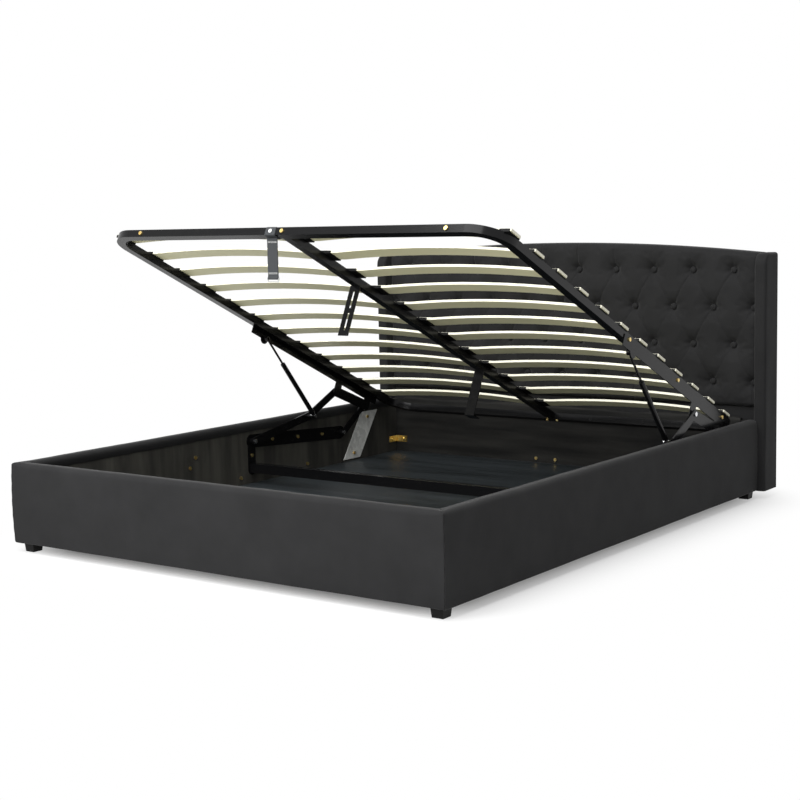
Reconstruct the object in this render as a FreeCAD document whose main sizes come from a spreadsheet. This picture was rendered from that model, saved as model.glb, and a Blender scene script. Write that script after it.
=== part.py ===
import FreeCAD, Part
import math
import os
import re
from types import SimpleNamespace

from FreeCAD import Placement, Rotation, Vector

# Ottoman bed: padded rails round a storage well, a tufted headboard with wings, and a gas-lift slatted platform.
# X is the width, +Y runs from the foot to the headboard, Z is up. Lengths in mm, angles in degrees.
# The bed stands open. Places on the platform are (x, along the slope from its foot edge, up from its underside).

SIZES = {
    # Padded rails
    "bed_width": 1680,
    "bed_length": 2118,
    "ground_clearance": 30,
    "rail_height": 260,
    "board_thickness": 18,
    "outer_padding": 20,
    "top_padding": 10,
    "lining_thickness": 2,
    "under_wrap": 3,
    "lip_height": 35,
    "rail_crown": 3,
    "rail_edge_radius": 14,
    "rail_bottom_radius": 6,
    "lip_radius": 5,
    "seam_gap": 0.8,
    # Headboard and wings
    "headboard_peak": 930,
    "arch_rise": 40,
    "wing_depth": 108,
    "wing_overhang": 26,
    "wing_corner_radius": 45,
    "wing_edge_radius": 10,
    "wing_padding": 12,
    "panel_thickness": 26,
    "back_cloth_thickness": 2,
    "pad_thickness": 42,
    "pad_lip": 8,
    "pad_edge_radius": 16,
    "soft_gap": 0.4,
    "band_height": 299,
    "button_pitch": 160,
    "button_row_pitch": 137,
    "button_drop": 102,
    "button_diameter": 22,
    "button_face_diameter": 14,
    "button_height": 8,
    "tuft_mouth": 60,
    "tuft_seat": 24,
    "tuft_depth": 20,
    "pleat_width": 34,
    "pleat_depth": 12,
    # Storage well
    "head_board_setback": 73,
    "batten_size": 20,
    "floor_thickness": 5,
    "floor_gap": 0.5,
    "beam_width": 30,
    "beam_height": 34,
    "beam_level": 100,
    "beam_from_head": 931,
    "tube_wall": 1.5,
    "foot_top_width": 42,
    "foot_floor_width": 36,
    "foot_inset": 45,
    "rear_foot_inset": 113,
    "corner_leg": 55,
    "corner_plate": 3,
    "corner_height": 25,
    "corner_level": 98,
    "gusset_plate": 2,
    "gusset_width": 110,
    "gusset_lean": 124,
    "gusset_from_head": 138,
    "gusset_top_gap": 5,
    "gusset_floor_gap": 8,
    # Bolts
    "bolt_diameter": 6,
    "bolt_clearance": 0.3,
    "bolt_length": 14,
    "bolt_head_diameter": 13,
    "bolt_head_height": 4,
    # Platform
    "platform_recess": 58,
    "foot_gap": 200,
    "head_gap": 20,
    "side_gap": 30,
    "tube_width": 30,
    "tube_height": 25,
    "tube_corner_radius": 95,
    "splice_run": 80,
    "side_splice": 950,
    "splice_bolt_offset": 20,
    "head_bolt_offset": 22,
    "slat_width": 53,
    "slat_thickness": 8,
    "slat_bow": 14,
    "slat_overhang": 6,
    "slat_middle_gap": 4,
    "slat_flat": 54,
    "slat_start": 85,
    "slat_finish": 140,
    "slat_clearance": 0.5,
    "holder_base": 3,
    "holder_wall": 3,
    "holder_lip": 6,
    "holder_overhang": 2,
    "middle_holder_reach": 36,
    "leg_width": 40,
    "leg_plate": 3,
    "leg_flange": 40,
    "leg_floor_gap": 2,
    "leg_slot_width": 8,
    "leg_slot_bridge": 24,
    "leg_slot_margin": 22,
    "front_leg_from_foot": 400,
    "rear_leg_from_head": 585,
    # Lift strap
    "strap_width": 40,
    "strap_thickness": 2,
    "strap_offset": 45,
    "strap_drop": 120,
    "strap_gap": 0.4,
    "ring_width": 46,
    "ring_height": 14,
    "ring_bar": 4,
    "rivet_diameter": 12,
    "rivet_height": 2,
    # Lift mechanism
    "lift_angle": 25.2,
    "hinge_rise": 182.8,
    "hinge_shift": 16.6,
    "hinge_from_head": 405,
    "hinge_drop": 60,
    "rear_pin_from_head": 203,
    "rear_pin_drop": 47,
    "strut_pin_from_head": 898,
    "strut_pin_drop": 20,
    "front_link_reach": 500,
    "rear_link_reach": 160,
    "strut_foot_along": 330,
    "strut_foot_below": 30,
    "bracket_plate": 3,
    "bracket_foot_reach": 77,
    "bracket_head_reach": 58,
    "bracket_skirt": 24,
    "bracket_overlap": 14,
    "bracket_lug_width": 40,
    "base_strip_width": 50,
    "base_lug_drop": 108,
    "link_standoff": 7,
    "link_plate": 5,
    "front_link_width": 30,
    "rear_link_width": 26,
    "boss_diameter": 22,
    "pivot_diameter": 10,
    "pivot_head_diameter": 16,
    "pivot_head_height": 4,
    "running_clearance": 0.05,
    "side_clearance": 0.4,
    "strut_inset": 13,
    "strut_eye_diameter": 20,
    "strut_eye_width": 10,
    "strut_neck_length": 4,
    "strut_neck_diameter": 8.5,
    "strut_pin_diameter": 8,
    "strut_spacer_diameter": 14,
    "cylinder_diameter": 18,
    "cylinder_length": 285,
    "rod_diameter": 8,
    "rod_engagement": 40,
    "cut_overrun": 5,
}

DERIVED = {
    "half_width": "bed_width / 2",
    "foot_face": "-bed_length / 2",
    "back_face": "bed_length / 2",
    "rail_top": "ground_clearance + rail_height",
    "rail_thickness": "outer_padding + board_thickness + lining_thickness",
    "board_outer": "half_width - outer_padding",
    "board_inner": "board_outer - board_thickness",
    "board_bottom": "ground_clearance + under_wrap",
    "board_top": "rail_top - top_padding",
    "foot_board_front": "foot_face + outer_padding",
    "foot_board_back": "foot_board_front + board_thickness",
    "wing_front": "back_face - wing_depth",
    "wing_outer": "half_width + wing_overhang",
    "wing_top": "headboard_peak - arch_rise",
    "panel_back": "back_face - back_cloth_thickness",
    "panel_front": "panel_back - panel_thickness",
    "pad_front": "panel_front - pad_thickness",
    "pad_half": "board_outer - soft_gap",
    "band_top": "board_bottom + band_height",
    "head_face": "back_face - head_board_setback",
    "head_board_back": "head_face + board_thickness",
    "floor_under": "board_bottom + batten_size",
    "floor_top": "floor_under + floor_thickness",
    "beam_mid": "head_face - beam_from_head",
    "beam_back": "beam_mid + beam_width / 2",
    "beam_front": "beam_mid - beam_width / 2",
    "beam_top": "beam_level + beam_height",
    "gusset_top": "rail_top - lip_height - gusset_top_gap",
    "gusset_bottom": "floor_top + gusset_floor_gap",
    "platform_foot_shut": "foot_face + rail_thickness + foot_gap",
    "platform_level_shut": "rail_top - platform_recess",
    "platform_length": "head_face - head_gap - platform_foot_shut",
    "tube_outer": "board_inner - lining_thickness - side_gap",
    "tube_inner": "tube_outer - tube_width",
    "tube_line": "tube_outer - tube_width / 2",
    "cross_tube_length": "2 * (tube_line - tube_corner_radius - splice_run)",
    "holder_top": "tube_height + holder_base",
    "slat_end": "tube_outer + slat_overhang",
    "slat_span": "platform_length - slat_start - slat_finish",
    "leg_length": "platform_level_shut - floor_top - leg_floor_gap",
    "lift_cos": "cos(lift_angle)",
    "lift_sin": "sin(lift_angle)",
    "hinge_along": "platform_length - hinge_from_head",
    "hinge_y": "platform_foot_shut + hinge_along - hinge_shift",
    "hinge_z": "platform_level_shut - hinge_drop + hinge_rise",
    "edge_y": "hinge_y - hinge_along * lift_cos + hinge_drop * lift_sin",
    "edge_z": "hinge_z + hinge_along * lift_sin + hinge_drop * lift_cos",
    "flange_face": "tube_outer + bracket_plate",
    "link_inner": "flange_face + link_standoff",
    "link_outer": "link_inner + link_plate",
    "base_plate_face": "board_inner - bracket_plate",
    "strut_axis": "tube_outer - strut_inset",
    "eye_inner": "strut_axis - strut_eye_width / 2",
    "eye_outer": "strut_axis + strut_eye_width / 2",
    "barrel_start": "strut_eye_diameter / 2 + strut_neck_length",
    "strap_y": "edge_y + tube_width / 2 * lift_cos - (2 * strap_thickness + strap_gap) * lift_sin",
    "strap_z": "edge_z - tube_width / 2 * lift_sin - (2 * strap_thickness + strap_gap) * lift_cos",
}

SLATS = 12
SIDES = {"left": -1, "right": 1}
BEND_SHARE = 1 - math.sqrt(0.5)
BASE_BOLT_SHARES = (0.22, 0.5, 0.78)
FLANGE_BOLT_SHARES = (0.04, 0.5, 0.97)
HEAD_BOLT_SHARES = (-0.14, -0.03)
HEAD_BOLT_LEVEL_SHARE = 0.17
LUG_BOLT_SHARE = 0.5
WALL_BOLT_SHARES = ((0.37, 0.52), (0.385, 0.66), (0.505, 0.21), (0.625, 0.19), (0.70, 0.21))
CORNER_BOLT_SHARE = 0.6
GUSSET_BOLT_SHARES = (0.12, 0.88)

doc = FreeCAD.newDocument("OttomanBed")
sheet = doc.addObject("Spreadsheet::Sheet", "Sizes")
cells = {name: str(value) for name, value in SIZES.items()}
cells.update({name: "=" + formula for name, formula in DERIVED.items()})
for row, (name, text) in enumerate(cells.items(), 1):
    sheet.set(f"A{row}", name)
    sheet.set(f"B{row}", text)
    sheet.setAlias(f"B{row}", name)
doc.recompute()
at = SimpleNamespace(**{name: float(getattr(sheet, name)) for name in cells})


# Small helpers: every text handed to them is a formula in the names of the sheet

def expr(text):
    return re.sub(r"[a-z]+(_[a-z]+)*", lambda word: "Sizes." + word.group(), text)


def value(text):
    return float(sheet.evalExpression(expr(text)))


def sided(side, low, high):
    return (low, high) if side > 0 else (f"-({high})", f"-({low})")


def box(label, x, y, z):
    item = doc.addObject("Part::Box", label)
    for edge, axis, (low, high) in (("Length", "x", x), ("Width", "y", y), ("Height", "z", z)):
        item.setExpression(edge, expr(f"({high}) - ({low})"))
        item.setExpression(f"Placement.Base.{axis}", expr(low))
    return item


def rod(label, diameter, length, start, facing):
    item = doc.addObject("Part::Cylinder", label)
    item.setExpression("Radius", expr(f"({diameter}) / 2"))
    item.setExpression("Height", expr(length))
    item.Placement = Placement(Vector(*start), Rotation(Vector(0, 0, 1), Vector(*facing)))
    return item


def join(label, kind, members):
    item = doc.addObject(kind, label)
    if kind == "Part::Compound":
        item.Links = members
    else:
        item.Shapes = members
    return item


def cut(label, base, tool):
    item = doc.addObject("Part::Cut", label)
    item.Base = base
    item.Tool = tool
    return item


def body(label):
    return doc.addObject("PartDesign::Body", label)


def sketch(owner, role, offset="0"):
    item = owner.newObject("Sketcher::SketchObject", "Outline")
    plane = next(part for part in owner.Origin.OriginFeatures if part.Role == role)
    item.AttachmentSupport = (plane, [""])
    item.MapMode = "FlatFace"
    item.setExpression("AttachmentOffset.Base.z", expr(offset))
    return item


def outline(item, start, *steps):
    # A step of two numbers is a straight line to that point; one of four is an arc through its first two
    here = Vector(*start)
    for step in steps + (start,):
        there = Vector(*step[-2:])
        if len(step) == 4:
            item.addGeometry(Part.Arc(here, Vector(*step[:2]), there))
        elif not there.isEqual(here, 1e-6):
            item.addGeometry(Part.LineSegment(here, there))
        here = there
    return item


def disc(item, centre, diameter):
    item.addGeometry(Part.Circle(Vector(*centre), Vector(0, 0, 1), diameter / 2))
    return item


def rounded_bar(item, start, end, width):
    start, end = Vector(*start), Vector(*end)
    along = (end - start).normalize() * (width / 2)
    across = Vector(-along.y, along.x)
    far, near = end + along, start - along
    corners = (start + across, end + across, end - across, start - across)
    return outline(item, corners[0][:2], corners[1][:2], (far.x, far.y, corners[2].x, corners[2].y),
                   corners[3][:2], (near.x, near.y, corners[0].x, corners[0].y))


def pad(owner, item, length):
    feature = owner.newObject("PartDesign::Pad", "Pad")
    feature.Profile = item
    feature.setExpression("Length", expr(length))
    return feature


def across(owner, x, draw):
    # A plate square to X, drawn in (y, z) or in (along, up) of the platform
    low, high = x
    return pad(owner, draw(sketch(owner, "YZ_Plane", low)), f"({high}) - ({low})")


def upright(owner, y, draw):
    # A plate square to Y, drawn in (x, z) or in (x, up) of the platform
    front, back = y
    return pad(owner, draw(sketch(owner, "XZ_Plane", f"-({back})")), f"({back}) - ({front})")


def pocket(owner, item):
    # Cuts along the normal of the sketch, through everything
    feature = owner.newObject("PartDesign::Pocket", "Pocket")
    feature.Profile = item
    feature.Type = "ThroughAll"
    feature.Reversed = True
    return feature


def soften(owner, feature, radius, chosen):
    doc.recompute()
    edges = [f"Edge{number}" for number, edge in enumerate(feature.Shape.Edges, 1) if chosen(edge)]
    item = owner.newObject("PartDesign::Fillet", "Fillet")
    item.Base = (feature, edges)
    item.setExpression("Radius", expr(radius))
    return item


def repeat(owner, feature, length, count):
    pattern = owner.newObject("PartDesign::LinearPattern", "Pattern")
    pattern.Originals = [feature]
    axis = next(part for part in owner.Origin.OriginFeatures if part.Role == "Y_Axis")
    pattern.Direction = (axis, [""])
    pattern.setExpression("Length", expr(length))
    pattern.Occurrences = count
    owner.Tip = pattern


def lay(item):
    # Tilts a piece drawn on the platform to the open platform
    item.Placement.Rotation.Axis = Vector(1, 0, 0)
    item.setExpression("Placement.Rotation.Angle", expr("0 - lift_angle"))
    item.setExpression("Placement.Base.y", expr("edge_y"))
    item.setExpression("Placement.Base.z", expr("edge_z"))
    return item


def bolt(point, facing, length):
    head = rod("BoltHead", "bolt_head_diameter", "bolt_head_height", point, facing)
    stem = rod("BoltStem", "bolt_diameter", length, point, [-part for part in facing])
    return join("Bolt", "Part::MultiFuse", [head, stem])


def drill(label, base, fixings, length):
    holes = []
    for point, facing in fixings:
        start = Vector(*point) + Vector(*facing) * at.cut_overrun
        depth = f"cut_overrun + {length} + bolt_clearance"
        holes.append(rod("Hole", "bolt_diameter + 2 * bolt_clearance", depth, start, [-part for part in facing]))
    return cut(label, base, join("Holes", "Part::Compound", holes))


def pin(label, side, centre, *steps):
    # A pin along X at (y, z) made of steps of (diameter, from, to)
    members = []
    for diameter, low, high in steps:
        start = (side * value(low), *centre)
        members.append(rod("Step", diameter, f"({high}) - ({low})", start, (side, 0, 0)))
    return join(label, "Part::MultiFuse", members)


# Pivots of the lift mechanism as (y, z), in the open position

def on_platform(along, up):
    return Vector(at.edge_y + along * at.lift_cos + up * at.lift_sin,
                  at.edge_z - along * at.lift_sin + up * at.lift_cos)


def turning_centre(along, up, reach):
    # The fixed pivot, a given reach from the chord, of the turn that takes a platform point from open to shut
    opened = on_platform(along, up)
    shut = Vector(at.platform_foot_shut + along, at.platform_level_shut + up)
    chord = shut - opened
    return (opened + shut) / 2 + Vector(chord.y, -chord.x).normalize() * reach


hinge_place = (at.hinge_along, -at.hinge_drop)
rear_place = (at.platform_length - at.rear_pin_from_head, -at.rear_pin_drop)
strut_place = (at.platform_length - at.strut_pin_from_head, -at.strut_pin_drop)
hinge = on_platform(*hinge_place)
rear_pin = on_platform(*rear_place)
strut_top = on_platform(*strut_place)
front_pivot = turning_centre(*hinge_place, at.front_link_reach)
rear_pivot = turning_centre(*rear_place, at.rear_link_reach)
link_line = (hinge - front_pivot).normalize()
link_below = Vector(link_line.y, -link_line.x)
strut_foot = front_pivot + link_line * at.strut_foot_along + link_below * at.strut_foot_below
strut_open = strut_top - strut_foot

# Length of the gas strut when the bed is shut: the front link has carried its foot down by then
shut_hinge = Vector(at.platform_foot_shut + at.hinge_along, at.platform_level_shut - at.hinge_drop)
shut_line = (shut_hinge - front_pivot).normalize()
shut_below = Vector(shut_line.y, -shut_line.x)
shut_foot = front_pivot + shut_line * at.strut_foot_along + shut_below * at.strut_foot_below
shut_top = Vector(at.platform_foot_shut + strut_place[0], at.platform_level_shut + strut_place[1])
stroke = strut_open.Length - (shut_top - shut_foot).Length


# Bolts that hold the boards and brackets of the base: (point on the metal, direction the head faces)

fixings = {"foot": [], "head": [], "left": [], "right": []}
corner_mid = at.corner_level + at.corner_height / 2
corner_bolt = at.corner_leg * CORNER_BOLT_SHARE
corners = [(name, side, end) for name, side in SIDES.items() for end in ("foot", "head")]
corner_bolts = {}
for name, side, end in corners:
    face, inward = (at.foot_board_back, 1) if end == "foot" else (at.head_face, -1)
    on_end = ((side * (at.board_inner - corner_bolt), face + inward * at.corner_plate, corner_mid), (0, inward, 0))
    on_side = ((side * (at.board_inner - at.corner_plate), face + inward * corner_bolt, corner_mid), (-side, 0, 0))
    corner_bolts[name, end] = [on_end, on_side]
    fixings[end].append(on_end)
    fixings[name].append(on_side)

lug_end = front_pivot - Vector(0, at.base_lug_drop)
gusset_back = at.head_face - at.gusset_from_head
gusset_top_mid = Vector(gusset_back - at.gusset_width / 2, at.gusset_top)
gusset_low_mid = Vector(gusset_top_mid.x - at.gusset_lean, at.gusset_bottom)
board_rise = at.board_top - at.board_bottom
base_bolts = {}
gusset_bolts = {}
for name, side in SIDES.items():
    spots = [front_pivot + (rear_pivot - front_pivot) * share for share in BASE_BOLT_SHARES]
    spots.append(front_pivot + (lug_end - front_pivot) * LUG_BOLT_SHARE)
    base_bolts[name] = [((side * at.base_plate_face, spot.x, spot.y), (-side, 0, 0)) for spot in spots]
    spots = [gusset_top_mid + (gusset_low_mid - gusset_top_mid) * share for share in GUSSET_BOLT_SHARES]
    face = side * (at.board_inner - at.gusset_plate)
    gusset_bolts[name] = [((face, spot.x, spot.y), (-side, 0, 0)) for spot in spots]
    fixings[name] += base_bolts[name] + gusset_bolts[name]
    for along, up in WALL_BOLT_SHARES:
        y = at.foot_board_back + (at.head_face - at.foot_board_back) * along
        fixings[name].append(((side * at.board_inner, y, at.board_bottom + board_rise * up), (-side, 0, 0)))
head_level = at.board_bottom + board_rise * HEAD_BOLT_LEVEL_SHARE
fixings["head"] += [((at.board_inner * share, at.head_face, head_level), (0, -1, 0)) for share in HEAD_BOLT_SHARES]
join("frame_bolts", "Part::Compound", [bolt(*spot, "bolt_length") for group in fixings.values() for spot in group])


# Boards of the base

board_z = ("board_bottom", "board_top")
foot_board = box("FootBoard", ("-board_outer", "board_outer"), ("foot_board_front", "foot_board_back"), board_z)
drill("foot_rail_board", foot_board, fixings["foot"], "bolt_length")
head_board = box("HeadBoard", ("-board_inner", "board_inner"), ("head_face", "head_board_back"), board_z)
drill("head_inner_board", head_board, fixings["head"], "bolt_length")
for name, side in SIDES.items():
    board_x = sided(side, "board_inner", "board_outer")
    board = box("SideBoard", board_x, ("foot_board_back", "head_board_back"), board_z)
    drill(f"{name}_rail_board", board, fixings[name], "bolt_length")


# Padded rail covers, mitred at the two foot corners

def rail_section(outer, inward):
    # Crowned outer face, rounded top, lining lip inside the well and a wrap under the board
    low, top, inner = at.ground_clearance, at.rail_top, at.rail_thickness
    crown, edge, toe, lip = at.rail_crown, at.rail_edge_radius, at.rail_bottom_radius, at.lip_radius
    board = inner - at.lining_thickness
    steps = (
        (crown + toe, low),
        (crown + toe * BEND_SHARE, low + toe * BEND_SHARE, crown, low + toe),
        (0, (low + toe + top - edge) / 2, crown, top - edge),
        (crown + edge * BEND_SHARE, top - edge * BEND_SHARE, crown + edge, top),
        (inner - lip, top),
        (inner - lip * BEND_SHARE, top - lip * BEND_SHARE, inner, top - lip),
        (inner, top - at.lip_height),
        (board, top - at.lip_height),
        (board, at.board_top),
        (at.outer_padding, at.board_top),
        (at.outer_padding, at.board_bottom),
        (board, at.board_bottom),
        (board, low),
    )
    placed = [[part if index % 2 else outer + inward * part for index, part in enumerate(step)] for step in steps]
    return lambda item: outline(item, *placed)


def mitre(owner, side, shift, third):
    # Takes off the corner on one side of the slanting seam; shift moves the cut off the seam line
    near = at.rail_thickness + at.cut_overrun
    outer = (side * (at.half_width + at.cut_overrun), at.foot_face - at.cut_overrun + shift)
    inner = (side * (at.half_width - near), at.foot_face + near + shift)
    corner = (inner[0], outer[1]) if third == "front" else (outer[0], inner[1])
    pocket(owner, outline(sketch(owner, "XY_Plane"), outer, inner, corner))


cover = body("foot_rail_cover")
across(cover, ("-half_width", "half_width"), rail_section(at.foot_face, 1))
for side in SIDES.values():
    mitre(cover, side, -at.seam_gap / 2, "back")
for name, side in SIDES.items():
    cover = body(f"{name}_rail_cover")
    upright(cover, ("foot_face", "wing_front - soft_gap"), rail_section(side * at.half_width, -side))
    mitre(cover, side, at.seam_gap / 2, "front")


# Feet: square blocks that taper to the floor

def square(item, width):
    half = width / 2
    return outline(item, (-half, -half), (half, -half), (half, half), (-half, half))


for name, side in SIDES.items():
    for end, place in (("front", "foot_face + foot_inset"), ("rear", "back_face - rear_foot_inset")):
        foot = body(f"{end}_{name}_foot")
        loft = foot.newObject("PartDesign::AdditiveLoft", "Loft")
        loft.Profile = square(sketch(foot, "XY_Plane"), at.foot_floor_width)
        loft.Sections = [square(sketch(foot, "XY_Plane", "ground_clearance"), at.foot_top_width)]
        foot.setExpression("Placement.Base.x", expr(f"{side} * (half_width - foot_inset)"))
        foot.setExpression("Placement.Base.y", expr(place))


# Storage well: corner angles, gussets, battens, cross beam and floor panels

angles = []
for name, side, end in corners:
    face, inward = (at.foot_board_back, 1) if end == "foot" else (at.head_face, -1)
    x = [side * (at.board_inner - reach) for reach in (0, at.corner_plate, at.corner_leg)]
    y = [face + inward * reach for reach in (0, at.corner_plate, at.corner_leg)]
    angle = body("Angle")
    shape = outline(sketch(angle, "XY_Plane", "corner_level"),
                    (x[0], y[0]), (x[2], y[0]), (x[2], y[1]), (x[1], y[1]), (x[1], y[2]), (x[0], y[2]))
    pad(angle, shape, "corner_height")
    angles.append(drill("DrilledAngle", angle, corner_bolts[name, end], "bolt_length"))
join("corner_brackets", "Part::Compound", angles)

gussets = []
for name, side in SIDES.items():
    gusset = body("Gusset")
    low_back = gusset_back - at.gusset_lean
    shape = ((gusset_back, at.gusset_top), (gusset_back - at.gusset_width, at.gusset_top),
             (low_back - at.gusset_width, at.gusset_bottom), (low_back, at.gusset_bottom))
    across(gusset, sided(side, "board_inner - gusset_plate", "board_inner"), lambda item: outline(item, *shape))
    gussets.append(drill("DrilledGusset", gusset, gusset_bolts[name], "bolt_length"))
join("side_gussets", "Part::Compound", gussets)

batten_z = ("board_bottom", "floor_under")
well_x = ("-board_inner", "board_inner")
battens = [box("FootBatten", well_x, ("foot_board_back", "foot_board_back + batten_size"), batten_z),
           box("HeadBatten", well_x, ("head_face - batten_size", "head_face"), batten_z),
           box("MiddleBatten", ("-board_inner + batten_size", "board_inner - batten_size"),
               ("beam_mid - batten_size / 2", "beam_mid + batten_size / 2"), batten_z)]
for side in SIDES.values():
    x = sided(side, "board_inner - batten_size", "board_inner")
    battens.append(box("SideBatten", x, ("foot_board_back + batten_size", "head_face - batten_size"), batten_z))
join("floor_battens", "Part::Compound", battens)

# The beam ties the two fixed halves of the lift mechanism together, above the joint of the floor panels
beam_x = ("-base_plate_face", "base_plate_face")
beam = box("Beam", beam_x, ("beam_front", "beam_back"), ("beam_level", "beam_top"))
beam_hollow = box("BeamHollow", ("-base_plate_face - cut_overrun", "base_plate_face + cut_overrun"),
                  ("beam_front + tube_wall", "beam_back - tube_wall"),
                  ("beam_level + tube_wall", "beam_top - tube_wall"))
cut("storage_cross_beam", beam, beam_hollow)

panel_x = ("-board_inner + floor_gap", "board_inner - floor_gap")
panel_z = ("floor_under", "floor_top")
box("floor_panel_front", panel_x, ("foot_board_back + floor_gap", "beam_mid - floor_gap / 2"), panel_z)
box("floor_panel_rear", panel_x, ("beam_mid + floor_gap / 2", "head_face - floor_gap"), panel_z)


# Headboard: panel, back cloth, lower band, tufted pad with buttons

def arched(item, half, low, drop):
    side_top, peak = at.wing_top - drop, at.headboard_peak - drop
    return outline(item, (-half, low), (half, low), (half, side_top), (0, peak, -half, side_top))


panel = body("headboard_panel")
upright(panel, ("panel_front", "panel_back"),
        lambda item: arched(item, at.board_outer, at.board_bottom, at.pad_lip + at.soft_gap))
cloth = body("headboard_back_cloth")
upright(cloth, ("panel_back", "back_face"), lambda item: arched(item, at.board_outer, at.board_bottom, 0))
box("headboard_lower_band", ("-pad_half", "pad_half"), ("head_board_back", "panel_front"),
    ("board_bottom", "band_top"))

pad_low = at.band_top + at.soft_gap
tufted = body("PadBlock")
face = upright(tufted, ("pad_front", "panel_back"), lambda item: arched(item, at.pad_half, pad_low, 0))


def front_edge(edge, upright_ones):
    in_front = all(abs(corner.Y - at.pad_front) < at.soft_gap for corner in edge.Vertexes)
    return in_front and (edge.BoundBox.XLength < at.soft_gap) == upright_ones


# The two sides are rounded first, then the arch and the lower edge
rolled = soften(tufted, face, "pad_edge_radius", lambda edge: front_edge(edge, True))
soften(tufted, rolled, "pad_edge_radius", lambda edge: front_edge(edge, False))


def panel_room(item):
    # Clears the panel and leaves the lip that turns over its top edge
    low, shoulder, reach = pad_low - at.cut_overrun, at.wing_top - at.pad_lip, at.pad_half + at.cut_overrun
    return outline(item, (-reach, low), (reach, low), (reach, shoulder), (at.pad_half, shoulder),
                   (0, at.headboard_peak - at.pad_lip, -at.pad_half, shoulder), (-reach, shoulder))


room = body("PanelRoom")
upright(room, ("panel_front", "panel_back + cut_overrun"), panel_room)
tufted = cut("TuftedPad", tufted, room)

rows = int((at.headboard_peak - at.button_drop - pad_low - at.tuft_mouth / 2) // at.button_row_pitch) + 1
columns = int((at.pad_half - at.button_diameter / 2) // (at.button_pitch / 2))
tufts = {(row, step) for row in range(rows) for step in range(-columns, columns + 1) if (row + step) % 2}


def tuft_point(row, step):
    return step * at.button_pitch / 2, at.headboard_peak - at.button_drop - row * at.button_row_pitch


def pleat(start, end):
    # A V-shaped fold sunk into the face of the pad between two points (x, z)
    run = Vector(end[0] - start[0], 0, end[1] - start[1])
    item = doc.addObject("Part::Wedge", "Pleat")
    mouth = "pleat_width * (pleat_depth + cut_overrun) / pleat_depth / 2"
    ends = {"Xmin": f"-({mouth})", "Xmax": mouth, "Ymin": "-cut_overrun", "Ymax": "pleat_depth"}
    for name, text in ends.items():
        item.setExpression(name, expr(text))
    for name in ("X2min", "X2max", "Zmin", "Z2min"):
        setattr(item, name, 0)
    item.Zmax = item.Z2max = run.Length
    turn = Rotation(Vector(0, 1, 0), math.degrees(math.atan2(run.x, run.z)))
    item.Placement = Placement(Vector(start[0], at.pad_front, start[1]), turn)
    return item


# Folds that lean one way never meet each other, so each family is cut as one group after the dimples
folds = {-1: [], 0: [], 1: []}
for row, step in sorted(tufts):
    for lean in (-1, 1):
        if (row - 1, step - lean) in tufts:
            continue
        last = row
        while (last + 1, step + lean * (last + 1 - row)) in tufts:
            last += 1
        if last > row:
            folds[lean].append(pleat(tuft_point(row, step), tuft_point(last, step + lean * (last - row))))
    x, z = tuft_point(row, step)
    if row == 0:
        folds[0].append(pleat((x, z), (x, at.headboard_peak + at.cut_overrun)))
    if row == rows - 1:
        folds[0].append(pleat((x, z), (x, pad_low - at.cut_overrun)))

dimples = []
buttons = []
for row, step in sorted(tufts):
    x, z = tuft_point(row, step)
    dimple = doc.addObject("Part::Cone", "Dimple")
    dimple.setExpression("Radius1", expr("(tuft_mouth + (tuft_mouth - tuft_seat) * cut_overrun / tuft_depth) / 2"))
    dimple.setExpression("Radius2", expr("tuft_seat / 2"))
    dimple.setExpression("Height", expr("tuft_depth + cut_overrun"))
    inward = Rotation(Vector(0, 0, 1), Vector(0, 1, 0))
    dimple.Placement = Placement(Vector(x, at.pad_front - at.cut_overrun, z), inward)
    dimples.append(dimple)
    button = doc.addObject("Part::Cone", "Button")
    button.setExpression("Radius1", expr("button_diameter / 2"))
    button.setExpression("Radius2", expr("button_face_diameter / 2"))
    button.setExpression("Height", expr("button_height"))
    outward = Rotation(Vector(0, 0, 1), Vector(0, -1, 0))
    button.Placement = Placement(Vector(x, at.pad_front + at.tuft_depth, z), outward)
    buttons.append(button)
join("headboard_buttons", "Part::Compound", buttons)
for group in (dimples, folds[-1], folds[1]):
    tufted = cut("Tufted", tufted, join("Folds", "Part::Compound", group))
cut("headboard_tufted_pad", tufted, join("Folds", "Part::Compound", folds[0]))


# Wings: a board inside a padded cover that is open at the back and underneath

def wing_outline(item):
    low, top, bend = at.ground_clearance, at.wing_top, at.wing_corner_radius
    corner = (at.wing_front + bend * BEND_SHARE, top - bend * BEND_SHARE, at.wing_front + bend, top)
    return outline(item, (at.wing_front, low), (at.wing_front, top - bend), corner, (at.back_face, top),
                   (at.back_face, low))


def wing_edge(edge):
    flat = abs(edge.BoundBox.XLength) < at.soft_gap
    at_back = abs(edge.BoundBox.YMin - at.back_face) < at.soft_gap
    at_floor = abs(edge.BoundBox.ZMax - at.ground_clearance) < at.soft_gap
    return flat and not at_back and not at_floor


for name, side in SIDES.items():
    wing = body("Wing")
    form = across(wing, sided(side, "board_outer", "wing_outer"), wing_outline)
    soften(wing, form, "wing_edge_radius", wing_edge)
    x = sided(side, "(board_outer + wing_outer - board_thickness) / 2",
              "(board_outer + wing_outer + board_thickness) / 2")
    y = ("wing_front + wing_padding", "back_face")
    board_top = "wing_top - 2 * wing_padding"
    hollow = box("WingHollow", x, (y[0], "back_face + cut_overrun"), ("0", board_top))
    cut(f"{name}_wing_cover", wing, hollow)
    box(f"{name}_wing_board", x, y, ("board_bottom", board_top))


# Lift mechanism, fixed half: a plate on each side board with two bosses, and the pins that the links turn on

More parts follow.
